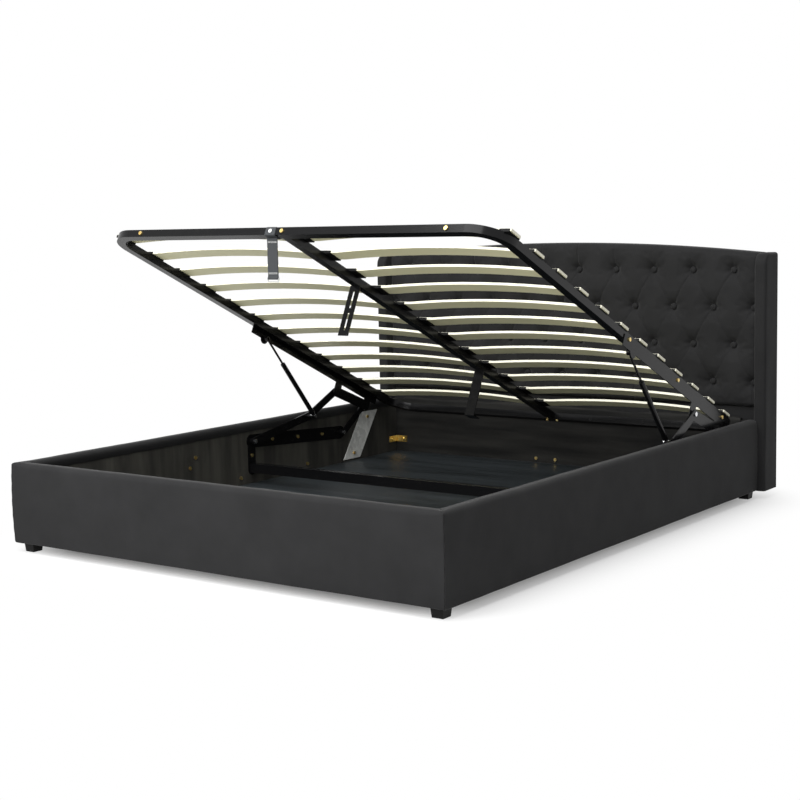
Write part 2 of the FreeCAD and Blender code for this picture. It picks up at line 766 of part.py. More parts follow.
pivot_pins = []
for name, side in SIDES.items():
    plate = body("BasePlate")
    plate_x = sided(side, "base_plate_face", "board_inner")
    boss_x = sided(side, "link_outer + side_clearance", "base_plate_face")
    across(plate, plate_x, lambda item: rounded_bar(item, front_pivot[:2], rear_pivot[:2], at.base_strip_width))
    across(plate, plate_x, lambda item: rounded_bar(item, front_pivot[:2], lug_end[:2], at.bracket_lug_width))
    for centre in (front_pivot, rear_pivot):
        across(plate, boss_x, lambda item: disc(item, centre[:2], at.boss_diameter))
        pivot_pins.append(pin("BasePin", side, centre[:2],
                              ("pivot_diameter", "link_inner - side_clearance", "link_outer + side_clearance"),
                              ("pivot_head_diameter", "link_inner - side_clearance - pivot_head_height",
                               "link_inner - side_clearance")))
    drill(f"{name}_base_bracket", plate, base_bolts[name], "bolt_length")
join("base_pivot_pins", "Part::Compound", pivot_pins)


# Links: the bent front link carries the foot of the gas strut, the rear link steadies the platform

bore = at.pivot_diameter + 2 * at.running_clearance
strut_pins = []
for name, side in SIDES.items():
    link_x = sided(side, "link_inner", "link_outer")
    link = body(f"{name}_front_link")
    for start, end in ((front_pivot, strut_foot), (strut_foot, hinge)):
        across(link, link_x, lambda item: rounded_bar(item, start[:2], end[:2], at.front_link_width))
    for centre in (front_pivot, hinge):
        pocket(link, disc(sketch(link, "YZ_Plane", link_x[0]), centre[:2], bore))
    strut_pins.append(pin("StrutPin", side, strut_foot[:2],
                          ("strut_spacer_diameter", "eye_outer + side_clearance", "link_inner"),
                          ("strut_pin_diameter", "eye_inner - side_clearance", "eye_outer + side_clearance"),
                          ("strut_spacer_diameter", "eye_inner - side_clearance - pivot_head_height",
                           "eye_inner - side_clearance")))
    link = body(f"{name}_rear_link")
    across(link, link_x, lambda item: rounded_bar(item, rear_pivot[:2], rear_pin[:2], at.rear_link_width))
    across(link, sided(side, "link_outer", "link_outer + pivot_head_height"),
           lambda item: disc(item, rear_pin[:2], at.pivot_head_diameter))
    pocket(link, disc(sketch(link, "YZ_Plane", link_x[0]), rear_pivot[:2], bore))
join("strut_foot_pins", "Part::Compound", strut_pins)


# Gas struts, drawn upright from the pin at their foot and then leaned over

strut_lean = math.degrees(math.atan2(-strut_open.x, strut_open.y))
rod_start = at.cylinder_length - at.rod_engagement
bore_start = rod_start - stroke - at.cut_overrun
eye_left = -at.strut_eye_width / 2


def strut_piece(label, side, solids, holes):
    item = cut(label, join("Solid", "Part::MultiFuse", solids), join("Holes", "Part::Compound", holes))
    item.Placement = Placement(Vector(side * at.strut_axis, strut_foot.x, strut_foot.y),
                               Rotation(Vector(1, 0, 0), strut_lean))


def eye_hole(level, diameter):
    start = (eye_left - at.cut_overrun, 0, level)
    return rod("EyeHole", diameter, "strut_eye_width + 2 * cut_overrun", start, (1, 0, 0))


for name, side in SIDES.items():
    solids = [rod("Eye", "strut_eye_diameter", "strut_eye_width", (eye_left, 0, 0), (1, 0, 0)),
              rod("Neck", "strut_neck_diameter", "barrel_start", (0, 0, 0), (0, 0, 1)),
              rod("Barrel", "cylinder_diameter", "cylinder_length - barrel_start",
                  (0, 0, at.barrel_start), (0, 0, 1))]
    holes = [eye_hole(0, "strut_pin_diameter + 2 * running_clearance"),
             rod("RodBore", "rod_diameter + 2 * running_clearance", f"cylinder_length - ({bore_start}) + cut_overrun",
                 (0, 0, bore_start), (0, 0, 1))]
    strut_piece(f"{name}_strut_cylinder", side, solids, holes)
    top = strut_open.Length
    solids = [rod("Eye", "strut_eye_diameter", "strut_eye_width", (eye_left, 0, top), (1, 0, 0)),
              rod("Rod", "rod_diameter", f"{top} - ({rod_start})", (0, 0, rod_start), (0, 0, 1))]
    strut_piece(f"{name}_strut_rod", side, solids, [eye_hole(top, "pivot_diameter + 2 * running_clearance")])


# Platform frame: four bent corner tubes, two straight ones and a centre rail, all hollow

def tube_section(item, low, width):
    for inset in (0, at.tube_wall):
        side_low, side_high = low + inset, low + width - inset
        base, top = inset, at.tube_height - inset
        outline(item, (side_low, base), (side_high, base), (side_high, top), (side_low, top))
    return item


def bent_tube(label, side, run, inward):
    tube = body(label)
    bend, line = at.tube_corner_radius, side * at.tube_line
    start = side * at.cross_tube_length / 2
    turn = (line - side * bend * BEND_SHARE, run + inward * bend * BEND_SHARE, line, run + inward * bend)
    path = sketch(tube, "XY_Plane", "tube_height / 2")
    points = ((start, run), (line - side * bend, run), (line, run + inward * bend), (line, at.side_splice))
    path.addGeometry(Part.LineSegment(Vector(*points[0]), Vector(*points[1])))
    path.addGeometry(Part.Arc(Vector(*points[1]), Vector(*turn[:2]), Vector(*points[2])))
    path.addGeometry(Part.LineSegment(Vector(*points[2]), Vector(*points[3])))
    for kind, inset in (("PartDesign::AdditivePipe", 0), ("PartDesign::SubtractivePipe", at.tube_wall)):
        half = at.tube_width / 2 - inset
        section = sketch(tube, "YZ_Plane", f"{side} * cross_tube_length / 2")
        outline(section, (run - half, inset), (run + half, inset),
                (run + half, at.tube_height - inset), (run - half, at.tube_height - inset))
        pipe = tube.newObject(kind, "Pipe")
        pipe.Profile = section
        pipe.Spine = (path, [""])
        doc.recompute()
    return tube


tube_mid = at.tube_height / 2
foot_run, head_run = at.tube_width / 2, at.platform_length - at.tube_width / 2
splice_bolt = at.cross_tube_length / 2 + at.splice_bolt_offset
tube_fixings = {"left": [((-splice_bolt, 0, tube_mid), (0, -1, 0))],
                "right": [((splice_bolt, 0, tube_mid), (0, -1, 0))],
                "foot": [((0, 0, tube_mid), (0, -1, 0))],
                "head": [((side * at.head_bolt_offset, head_run, 0), (0, 0, -1)) for side in SIDES.values()]}
for name, side in SIDES.items():
    lay(drill(f"{name}_foot_tube", bent_tube("FootTube", side, foot_run, 1), tube_fixings[name], "bracket_plate"))
    lay(bent_tube(f"{name}_head_tube", side, head_run, -1))
for name, low in (("foot", 0), ("head", at.platform_length - at.tube_width)):
    tube = body("CrossTube")
    across(tube, ("-cross_tube_length / 2", "cross_tube_length / 2"),
           lambda item: tube_section(item, low, at.tube_width))
    lay(drill(f"{name}_cross_tube", tube, tube_fixings[name], "bracket_plate"))
rail = lay(body("centre_rail"))
upright(rail, ("tube_width", "platform_length - tube_width"),
        lambda item: tube_section(item, -at.tube_width / 2, at.tube_width))


# Slats bowed upward, and the holders that take their ends

def slat_section(side):
    inner, outer = side * at.slat_middle_gap, side * at.slat_end
    bend_in, bend_out = inner + side * at.slat_flat, outer - side * at.slat_flat
    middle = (bend_in + bend_out) / 2
    low, high = at.holder_top, at.holder_top + at.slat_thickness
    return lambda item: outline(item, (inner, low), (bend_in, low), (middle, low + at.slat_bow, bend_out, low),
                                (outer, low), (outer, high), (bend_out, high),
                                (middle, high + at.slat_bow, bend_in, high), (inner, high))


def holder_section(item):
    inner = at.slat_width / 2 + at.slat_clearance
    outer = inner + at.holder_wall
    low, base, top = at.tube_height, at.holder_top, at.holder_top + at.holder_lip
    steps = ((-outer, low), (outer, low), (outer, top), (inner, top), (inner, base), (-inner, base), (-inner, top),
             (-outer, top))
    return outline(item, *[(at.slat_start + along, up) for along, up in steps])


holders = []
for name, side in SIDES.items():
    slats = lay(body(f"{name}_slats"))
    first = upright(slats, ("slat_start - slat_width / 2", "slat_start + slat_width / 2"), slat_section(side))
    repeat(slats, first, "slat_span", SLATS)
    holder = lay(body("Holders"))
    holder_x = sided(side, "tube_inner - holder_overhang", "tube_outer + holder_overhang")
    first = across(holder, holder_x, holder_section)
    repeat(holder, first, "slat_span", SLATS)
    holders.append(holder)
join("side_slat_holders", "Part::Compound", holders)
holder = lay(body("centre_slat_holders"))
first = across(holder, ("-middle_holder_reach", "middle_holder_reach"), holder_section)
repeat(holder, first, "slat_span", SLATS)


# Lift mechanism, lifting half: a flange on each side tube with lugs for the two links and the gas strut

flange_low = strut_place[0] - at.bracket_foot_reach
flange_high = rear_place[0] + at.bracket_head_reach
flange_bolts = {}
hinge_pins = []
for name, side in SIDES.items():
    flange = body("Flange")
    flange_x = sided(side, "tube_outer", "flange_face")
    strip = ((flange_low, -at.bracket_skirt), (flange_high, -at.bracket_skirt),
             (flange_high, at.bracket_overlap), (flange_low, at.bracket_overlap))
    across(flange, flange_x, lambda item: outline(item, *strip))
    lug_start = tube_mid - at.bracket_lug_width / 2
    lugs = [((along, lug_start), (along, up)) for along, up in (hinge_place, rear_place, strut_place)]
    for start, end in lugs + [(hinge_place, rear_place)]:
        across(flange, flange_x, lambda item: rounded_bar(item, start, end, at.bracket_lug_width))
    for centre in (hinge_place, rear_place):
        across(flange, sided(side, "flange_face", "link_inner - side_clearance"),
               lambda item: disc(item, centre, at.boss_diameter))
    across(flange, sided(side, "eye_outer + side_clearance", "tube_outer"),
           lambda item: disc(item, strut_place, at.pivot_diameter))
    spots = [flange_low + (flange_high - flange_low) * share for share in FLANGE_BOLT_SHARES]
    bolt_level = at.bracket_overlap / 2
    flange_bolts[name] = [((side * at.flange_face, along, bolt_level), (side, 0, 0)) for along in spots]
    lay(drill(f"{name}_platform_bracket", flange, flange_bolts[name], "bracket_plate"))
    hinge_pins.append(pin("HingePin", side, hinge[:2],
                          ("pivot_diameter", "link_inner - side_clearance", "link_outer + side_clearance"),
                          ("pivot_head_diameter", "link_outer + side_clearance",
                           "link_outer + side_clearance + pivot_head_height")))
join("platform_pivot_pins", "Part::Compound", hinge_pins)


# Centre legs under the rail: the front one slotted, the rear one with a bent foot

leg_bolts = []
legs = (("front", at.front_leg_from_foot), ("rear", at.platform_length - at.rear_leg_from_head))
for name, along in legs:
    leg = body("Leg")
    half, foot = at.leg_width / 2, -at.leg_length

    def leg_plate(item):
        outline(item, (-half, foot), (half, foot), (half, 0), (-half, 0))
        if name == "front":
            bridge = at.leg_slot_bridge / 2
            rounded_bar(item, (0, -at.leg_slot_margin), (0, foot / 2 + bridge), at.leg_slot_width)
            rounded_bar(item, (0, foot / 2 - bridge), (0, foot + at.leg_slot_margin), at.leg_slot_width)
        return item

    upright(leg, (f"{along}", f"{along} + leg_plate"), leg_plate)
    flanges = [(-at.leg_plate, 0)] + ([(foot, foot + at.leg_plate)] if name == "rear" else [])
    for low, high in flanges:
        across(leg, ("-leg_width / 2", "leg_width / 2"),
               lambda item: outline(item, (along, low), (along + at.leg_flange, low), (along + at.leg_flange, high),
                                    (along, high)))
    spot = ((0, along + at.leg_flange / 2, -at.leg_plate), (0, 0, -1))
    leg_bolts.append(spot)
    lay(drill(f"{name}_centre_leg", leg, [spot], "leg_plate"))

platform_spots = [spot for group in (*tube_fixings.values(), *flange_bolts.values()) for spot in group]
platform_bolts = [bolt(*spot, "bracket_plate") for spot in platform_spots]
platform_bolts += [bolt(*spot, "leg_plate") for spot in leg_bolts]
lay(join("platform_bolts", "Part::Compound", platform_bolts))


# Lift strap: a tight loop round the foot tube, and a tail with a ring that hangs from it

strap_x = ("-strap_offset - strap_width / 2", "-strap_offset + strap_width / 2")


def loop_section(item):
    for reach in (at.strap_thickness, 0):
        low, high = -reach, at.tube_width + reach
        base, top = -reach, at.tube_height + reach
        outline(item, (low, base), (high, base), (high, top), (low, top))
    return item


def tail_section(item):
    y, z, half = at.strap_y, at.strap_z, at.strap_thickness
    return outline(item, (y - half, z), (y, z + half, y + half, z), (y + half, z - at.strap_drop),
                   (y - half, z - at.strap_drop))


def ring_section(item):
    top = at.strap_z - at.strap_drop
    for inset in (0, at.ring_bar):
        half = at.ring_width / 2 - inset
        low, high = top - at.ring_height + inset, top - inset
        outline(item, (-at.strap_offset - half, low), (-at.strap_offset + half, low),
                (-at.strap_offset + half, high), (-at.strap_offset - half, high))
    return item


loop = lay(body("strap_loop"))
across(loop, strap_x, loop_section)
tail = body("lift_strap")
across(tail, strap_x, tail_section)
buckle = body("strap_ring")
upright(buckle, ("strap_y - ring_bar / 2", "strap_y + ring_bar / 2"), ring_section)
rivet = rod("Rivet", "rivet_diameter", "rivet_height", (-at.strap_offset, -at.strap_thickness, tube_mid), (0, -1, 0))
lay(join("strap_rivet", "Part::Compound", [rivet]))


# Check and write every piece; only pieces have names in small letters

doc.recompute()
faults = [item.Label for item in doc.Objects if {"Invalid", "Error"} & set(item.State)]
pieces = [item for item in doc.Objects if item.Label.islower()]
faults += [item.Label for item in pieces if item.Shape.isNull() or not item.Shape.isValid() or not item.Shape.Solids]
if faults:
    raise SystemExit(f"faulty: {faults}")
os.makedirs("parts", exist_ok=True)
for item in pieces:
    item.Shape.exportStep(f"parts/{item.Label}.step")
for name, spot in (("front_pivot", front_pivot), ("rear_pivot", rear_pivot), ("hinge", hinge), ("rear_pin", rear_pin),
                   ("strut_foot", strut_foot), ("strut_top", strut_top)):
    print(f"{name}: y {spot.x:.4f}, z {spot.y:.4f}")
print(f"strut stroke {stroke:.4f}, strap hinge y {at.strap_y:.4f} z {at.strap_z:.4f}")
print(f"{len(pieces)} pieces, {sum(len(item.Shape.Solids) for item in pieces)} solids")
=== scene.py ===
# %% [markdown]
# # Dressing an ottoman bed
# The steel lift frame, the slats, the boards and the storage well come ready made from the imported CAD
# model. What is left for Blender is everything soft, and every finish. The CAD box is measured first,
# because the upholstery that is made here has to keep to the size of the bed that was built.

# %% Load the bed frame
import math

import bmesh
import bpy
import numpy as np
from mathutils import Matrix, Vector


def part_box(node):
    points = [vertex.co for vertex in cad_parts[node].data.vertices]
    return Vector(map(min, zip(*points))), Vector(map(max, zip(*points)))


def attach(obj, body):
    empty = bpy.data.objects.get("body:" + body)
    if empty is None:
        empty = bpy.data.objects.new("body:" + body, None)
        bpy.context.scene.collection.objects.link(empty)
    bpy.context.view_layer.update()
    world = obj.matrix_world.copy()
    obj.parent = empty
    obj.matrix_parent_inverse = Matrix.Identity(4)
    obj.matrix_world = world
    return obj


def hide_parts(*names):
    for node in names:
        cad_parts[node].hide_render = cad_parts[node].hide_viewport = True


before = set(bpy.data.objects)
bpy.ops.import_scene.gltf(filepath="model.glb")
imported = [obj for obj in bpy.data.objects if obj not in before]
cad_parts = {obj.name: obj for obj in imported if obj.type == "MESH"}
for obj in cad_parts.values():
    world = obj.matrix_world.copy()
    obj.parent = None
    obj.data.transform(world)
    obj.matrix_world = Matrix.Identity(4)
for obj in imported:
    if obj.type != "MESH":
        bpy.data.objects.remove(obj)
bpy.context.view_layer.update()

# %% [markdown]
# ## Shader sums as plain Python
# Finishes are layered from noise: a bit of grain, a bit of mottle, some wear. Node by node that is hard to
# read, so one small class stands for the output of a node. Sums on it add Math nodes, and its one method
# adds any other node: the settings are made first, then the sockets are filled with values or with other
# outputs.

# %% A socket that can be added and multiplied
class Wire:
    """The output of one node in a finish."""

    def __init__(self, tree, socket=None):
        self.tree = tree
        self.socket = socket

    def node(self, kind, settings=None, sockets=None, out=0):
        made = self.tree.nodes.new("ShaderNode" + kind)
        for name, setting in (settings or {}).items():
            if name == "stops":
                while len(made.color_ramp.elements) < len(setting):
                    made.color_ramp.elements.new(1)
                for element, (position, grey) in zip(made.color_ramp.elements, setting):
                    element.position = position
                    element.color = (grey, grey, grey, 1)
            else:
                setattr(made, name, setting)
        for name, given in (sockets or {}).items():
            self.fill(made.inputs[name], given)
        return Wire(self.tree, made.outputs[out])

    def fill(self, socket, given):
        if isinstance(given, Wire):
            self.tree.links.new(given.socket, socket)
        elif socket.type == "RGBA":
            socket.default_value = (*given, 1)
        else:
            socket.default_value = given

    def sum(self, operation, first, second):
        return self.node("Math", {"operation": operation}, {0: first, 1: second})

    def __add__(self, other):
        return self.sum("ADD", self, other)

    __radd__ = __add__

    def __sub__(self, other):
        return self.sum("SUBTRACT", self, other)

    def __rsub__(self, other):
        return self.sum("SUBTRACT", other, self)

    def __mul__(self, other):
        return self.sum("MULTIPLY", self, other)

    __rmul__ = __mul__

    def __pow__(self, other):
        return self.sum("POWER", self, other)


print("socket class ready")

# %% [markdown]
# ## Bench tools for finishes
# Each finish starts from the same shader with its steady values set on the shader itself. Patterns are laid
# in object space: the nodes of the bed sit at the origin, so a metre in the pattern is a metre on the bed.

# %% Start a finish, lay a pattern, wire it up
finishes = {}


def start_finish(name, **steady):
    material = bpy.data.materials.new(name)
    material.use_nodes = True
    shader = material.node_tree.nodes["Principled BSDF"]
    for socket, given in steady.items():
        shader.inputs[socket.replace("_", " ")].default_value = given
    finishes[name] = material
    return Wire(material.node_tree).node("TexCoord", out="Object")


def stretched(place, scale):
    return place.node("Mapping", None, {"Vector": place, "Scale": scale})


def noise(place, scale, detail=3, rough=0.5):
    sockets = {"Vector": place, "Scale": scale, "Detail": detail, "Roughness": rough}
    return place.node("TexNoise", None, sockets)


def cells(place, scale, feature="F1", out="Distance"):
    return place.node("TexVoronoi", {"feature": feature}, {"Vector": place, "Scale": scale}, out)


def steps(value, *stops):
    return value.node("ValToRGB", {"stops": stops}, {"Fac": value})


def shade(factor, dark, light):
    return factor.node("Mix", {"data_type": "RGBA"}, {0: factor, 6: dark, 7: light}, 2)


def dress(place, colour, roughness, height, strength, distance):
    shader = place.tree.nodes["Principled BSDF"]
    place.fill(shader.inputs["Base Color"], colour)
    place.fill(shader.inputs["Roughness"], roughness)
    bump = place.node("Bump", None, {"Strength": strength, "Distance": distance, "Height": height})
    place.fill(shader.inputs["Normal"], bump)


print("bench tools ready")

# %% [markdown]
# ## Upholstery leather
# The rails, wings and headboard are covered in a charcoal leather with a satin face. Close up it has small
# closed pores with soft valleys between them, and a faint mottle where it was stretched. The pores are a
# cell pattern of about one millimetre, and the valleys a finer noise on top.

# %% Leather
PORES_PER_METRE = 760
place = start_finish("charcoal_leather", Specular_IOR_Level=0.02, Sheen_Weight=0.125, Sheen_Roughness=0.4)
pores = cells(place, PORES_PER_METRE, "SMOOTH_F1")
valleys = noise(place, 1900, 2)
mottle = noise(place, 9, 4)
creases = noise(stretched(place, (30, 30, 18)), 1, 5, 0.6)
stretch = steps(mottle, (0.3, 0), (0.75, 1))
dress(place, shade(stretch, (0.0200, 0.0200, 0.0205), (0.0255, 0.0255, 0.0262)),
      0.52 + 0.14 * creases + 0.06 * pores,
      pores * 0.7 + valleys * 0.2 + creases * 0.6, 0.22, 0.0009)
print("leather pores about", round(1000 / PORES_PER_METRE, 2), "mm")

# %% [markdown]
# ## Linings and thin cloth
# The boards of the well are lined with a dry black cloth. It hangs in faint upright ripples on the sides
# and lies in level ones at the head. At the head the same cloth is made several times darker, as painted
# shade for the head end of the well. The back of the headboard has a thin bonded cloth, with the little
# pressed dots that such cloth is held together by.

# %% Lining and back cloth
# The second colour pair is the same cloth several times darker: painted shade at the head end of the well.
for name, ripples, dark, light in (
        ("well_lining", (22, 22, 3), (0.022, 0.0215, 0.019), (0.054, 0.052, 0.045)),
        ("shaded_head_lining", (3, 22, 30), (0.0036, 0.0036, 0.0033), (0.0180, 0.0175, 0.0157))):
    place = start_finish(name, Specular_IOR_Level=0.2)
    fibres = noise(place, 1400, 2)
    folds = noise(stretched(place, ripples), 1, 3)
    dust = noise(place, 60, 6, 0.7)
    dress(place, shade(steps(folds, (0.35, 0), (0.7, 1)), dark, light),
          0.62 + 0.2 * dust, fibres * 0.3 + folds * 2, 0.3, 0.0012)

place = start_finish("bonded_cloth", Specular_IOR_Level=0.2)
dots = steps(cells(place, 420), (0.16, 0), (0.3, 1))
fibres = noise(stretched(place, (900, 900, 500)), 1, 3)
dress(place, shade(fibres, (0.012, 0.012, 0.012), (0.03, 0.03, 0.031)),
      0.95 - 0.3 * (1 - dots), dots * 0.7 + fibres * 0.4, 0.35, 0.0006)
print("lining and back cloth")

# %% [markdown]
# ## Steel, bright and black
# The tubes and links are steel under a black gloss coat, which dries with a slight orange-peel skin and
# shows a few dull rubs. Bolts are zinc with a yellow tint that drifts from gold to green, pins and ring are
# polished, and the bare gusset plates show the frozen crystals of dipped zinc.

# %% Black coat and the three bare metals
place = start_finish("black_gloss_coat", Specular_IOR_Level=0.14, Coat_Weight=0.06, Coat_Roughness=0.08)
peel = noise(place, 320, 2)
rubs = steps(noise(place, 26, 7, 0.7), (0.55, 0), (0.78, 1))
dress(place, shade(rubs, (0.0042, 0.0042, 0.0046), (0.0065, 0.0063, 0.006)),
      0.20 + 0.08 * rubs + 0.03 * peel, peel, 0.05, 0.0004)

place = start_finish("yellow_zinc", Metallic=1)
drift = noise(place, 95, 3)
scuffs = noise(place, 900, 4)
tint = steps(drift, (0.3, 0), (0.7, 1))
dress(place, shade(tint, (0.85, 0.56, 0.16), (0.78, 0.70, 0.36)),
      0.22 + 0.2 * scuffs, scuffs, 0.1, 0.0003)

place = start_finish("polished_steel", Metallic=1)
scuffs = noise(stretched(place, (300, 2400, 2400)), 1, 3)
dress(place, shade(scuffs, (0.66, 0.67, 0.69), (0.82, 0.83, 0.84)),
      0.12 + 0.18 * scuffs, scuffs, 0.06, 0.0003)

place = start_finish("dipped_zinc", Metallic=0.15)
crystals = cells(place, 62, "F1", "Color")
tone = place.node("SeparateColor", None, {"Color": crystals})
bloom = noise(place, 16, 5, 0.65)
dress(place, shade(tone * 0.5 + bloom * 0.6, (0.50, 0.51, 0.49), (0.95, 0.96, 0.93)),
      0.34 + 0.3 * bloom, tone * 0.4 + bloom, 0.12, 0.0005)
print("four metals")

# %% [markdown]
# ## Slats, floor panels and plain board
# Slats are bent from thin veneer, so the grain runs along their length and the pale cream colour drifts a
# little from slat to slat. Their edges get a paler cream than their broad faces: a painted highlight on
# the lit edges, and painted shade in the deeper olive of the faces, over the veneer's own cream and grain.
# The floor panels have a dark foil with long streaks across the bed and a faint shine.

# %% Woods
SLOPE = math.radians(25.2)
place = start_finish("slat_veneer", Specular_IOR_Level=0.35)
grain = noise(stretched(place, (5, 420, 420)), 1, 5, 0.6)
figure = noise(stretched(place, (1.6, 26, 26)), 1, 3)
drift = noise(stretched(place, (0.8, 7, 7)), 1, 1)
# The way a surface faces picks its colour: broad faces get the darker olive cream (painted shade), edges the
# paler cream (painted highlight).
facing = place.node("TexCoord", out="Normal")
upright = {0: facing, 1: (0, math.sin(SLOPE), math.cos(SLOPE))}
lying = place.node("VectorMath", {"operation": "DOT_PRODUCT"}, upright, "Value")
shaded_face_share = steps(lying * lying, (0.3, 0), (0.7, 1))
flat = shade(grain * 0.3 + figure * 0.4 + drift * 0.3, (0.74, 0.70, 0.42), (0.95, 0.92, 0.62))
lit_edge_colour = shade(grain, (0.82, 0.79, 0.62), (0.92, 0.90, 0.77))
dress(place, shade(shaded_face_share, lit_edge_colour, flat), 0.34 + 0.22 * grain, grain, 0.14, 0.0004)

place = start_finish("dark_foil", Specular_IOR_Level=0.16)
streaks = noise(stretched(place, (1.3, 24, 24)), 1, 5, 0.62)
pores = noise(stretched(place, (26, 900, 900)), 1, 3)
figure = steps(streaks, (0.38, 0), (0.64, 1))
dress(place, shade(figure, (0.015, 0.0178, 0.0195), (0.036, 0.0425, 0.0465)),
      0.26 + 0.24 * streaks, streaks * 0.8 + pores * 0.3, 0.16, 0.0007)

place = start_finish("raw_board", Specular_IOR_Level=0.3)
chips = cells(stretched(place, (90, 240, 240)), 1, "F1", "Color")
chip = place.node("SeparateColor", None, {"Color": chips})
fuzz = noise(place, 700, 4)
dress(place, shade(chip * 0.7 + fuzz * 0.3, (0.24, 0.16, 0.085), (0.47, 0.36, 0.22)),
      0.65 + 0.2 * fuzz, chip * 0.5 + fuzz * 0.5, 0.25, 0.0006)
print("three woods")

# %% [markdown]
# ## Moulded plastic and webbing
# Slat holders and feet are moulded black plastic with a fine spark finish, and the rivet on the strap is
# glossy and white. Webbing is a plain weave: one band pattern runs across the strap and one along it, and
# the product of the two gives raised squares.

# %% Plastics and webbing
place = start_finish("black_moulding", Specular_IOR_Level=0.1)
spark = noise(place, 2200, 2)
bloom = noise(place, 34, 4)
dress(place, shade(bloom, (0.005, 0.005, 0.005), (0.010, 0.010, 0.0097)),
      0.30 + 0.22 * bloom, spark, 0.18, 0.0004)

place = start_finish("white_moulding", Specular_IOR_Level=0.5)
haze = noise(place, 400, 3)
dress(place, shade(haze, (0.70, 0.70, 0.68), (0.86, 0.86, 0.85)),
      0.25 + 0.15 * haze, haze, 0.05, 0.0003)

place = start_finish("grey_webbing", Specular_IOR_Level=0.25)
warp, weft = (place.node("TexWave", {"wave_type": "BANDS", "bands_direction": direction},
                         {"Vector": place, "Scale": scale, "Distortion": 0.4}, "Fac")
              for direction, scale in (("X", 125), ("Z", 170)))
fuzz = noise(place, 1500, 3)
weave = warp * weft
dress(place, shade(weave * 0.7 + fuzz * 0.3, (0.022, 0.024, 0.026), (0.085, 0.09, 0.096)),
      0.6 + 0.2 * fuzz, weave + fuzz * 0.3, 0.5, 0.0008)
print("finishes:", ", ".join(finishes))

# %% [markdown]
# ## A finish for every piece of the frame
# The hard pieces of the bed are used as they were built, and each gets one of the finishes above. What is
# left over is printed: these are the soft pieces, which are made anew below.

# %% Finish the CAD pieces
SIDES = ("left", "right")


def both(*names):
    return [f"{side}_{name}" for name in names for side in SIDES]


worn_by = {
    "well_lining": ["foot_rail_board", *both("rail_board")],
    "shaded_head_lining": ["head_inner_board"],
    "raw_board": ["headboard_panel", "floor_battens", *both("wing_board")],
    "black_moulding": ["side_slat_holders", "centre_slat_holders",
                       *[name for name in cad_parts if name.endswith("_foot")]],
    "dipped_zinc": ["side_gussets"],
    "yellow_zinc": ["corner_brackets", "frame_bolts", "platform_bolts"],
    "dark_foil": ["floor_panel_front", "floor_panel_rear"],
    "slat_veneer": both("slats"),
    "polished_steel": ["base_pivot_pins", "platform_pivot_pins", "strut_foot_pins", "strap_ring"],
    "white_moulding": ["strap_rivet"],
    "black_gloss_coat": ["storage_cross_beam", "foot_cross_tube", "head_cross_tube", "centre_rail",
                         "front_centre_leg", "rear_centre_leg",
                         *both("foot_tube", "head_tube", "base_bracket", "platform_bracket", "front_link",
                               "rear_link", "strut_cylinder", "strut_rod")],
}
for finish, names in worn_by.items():
    for name in names:
        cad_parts[name].data.materials.clear()
        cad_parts[name].data.materials.append(finishes[finish])
dressed = {name for names in worn_by.values() for name in names}
still_bare = sorted(set(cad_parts) - dressed)
print(len(dressed), "CAD pieces finished; soft ones to be replaced:", still_bare)

# %% [markdown]
# ## Lofting, the one way all the soft pieces are made
# A rail, a wing, a headboard and a strap are all a closed outline that is carried along a line and changes
# a little on the way. So one helper takes a stack of rings of points and skins them. Unevenness comes from
# a few sine waves with seeded directions, so it is the same at every run.

# %% Loft and unevenness
def loft(rings, round_trip=False):
    """Points and faces of the skin through closed rings; the ends are capped unless the stack closes."""
    stations, count = rings.shape[:2]
    index = np.arange(stations * count).reshape(stations, count)
    if round_trip:
        index = np.vstack([index, index[:1]])
    beside = np.roll(index, -1, axis=1)
    faces = np.stack([index[:-1], beside[:-1], beside[1:], index[1:]], axis=-1).reshape(-1, 4).tolist()
    if not round_trip:
        faces += [index[0, ::-1].tolist(), index[-1].tolist()]
    return rings.reshape(-1, 3), faces


def uneven(a, b, seed, waves=8):
    """About -1 to 1 over two coordinates measured in wavelengths."""
    picks = np.random.default_rng(seed)
    total = 0
    for _ in range(waves):
        turn, phase = picks.uniform(0, math.tau, 2)
        pitch = picks.uniform(0.5, 1.6)
        total = total + np.sin(math.tau * pitch * (a * math.cos(turn) + b * math.sin(turn)) + phase)
    return total / waves * 1.6


def add_object(name, points, faces):
    mesh = bpy.data.meshes.new(name)
    mesh.from_pydata(points, [], faces)
    made = bpy.data.objects.new(name, mesh)
    bpy.context.scene.collection.objects.link(made)
    return made


def piece(name, parts, finish, slot, body, *nodes, sharp=40):
    points, faces, first = [], [], 0
    for some_points, some_faces in parts:
        points.append(some_points)
        faces += [[corner + first for corner in face] for face in some_faces]
        first += len(some_points)
    made = add_object(name, np.vstack(points).tolist(), faces)
    mesh = made.data
    shell = bmesh.new()
    shell.from_mesh(mesh)
    bmesh.ops.recalc_face_normals(shell, faces=shell.faces)
    shell.to_mesh(mesh)
    shell.free()
    mesh.shade_smooth()
    mesh.set_sharp_from_angle(angle=math.radians(sharp))
    mesh.materials.append(finishes[finish])
    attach(made, body)
    if nodes:
        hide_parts(*nodes)
    print(f"{name}: {first} points")
    return made


print("loft ready")

# %% [markdown]
# ## Padded rails
# A rail is a board with foam on its outside, wrapped in leather: the face swells a little, the top edge is
# a soft roll, and the leather turns over the top, bulges into the well a little and tucks back to the
# board. The outline below goes once round that wrap. Points on the leather side may move; points against
# the board stay put.

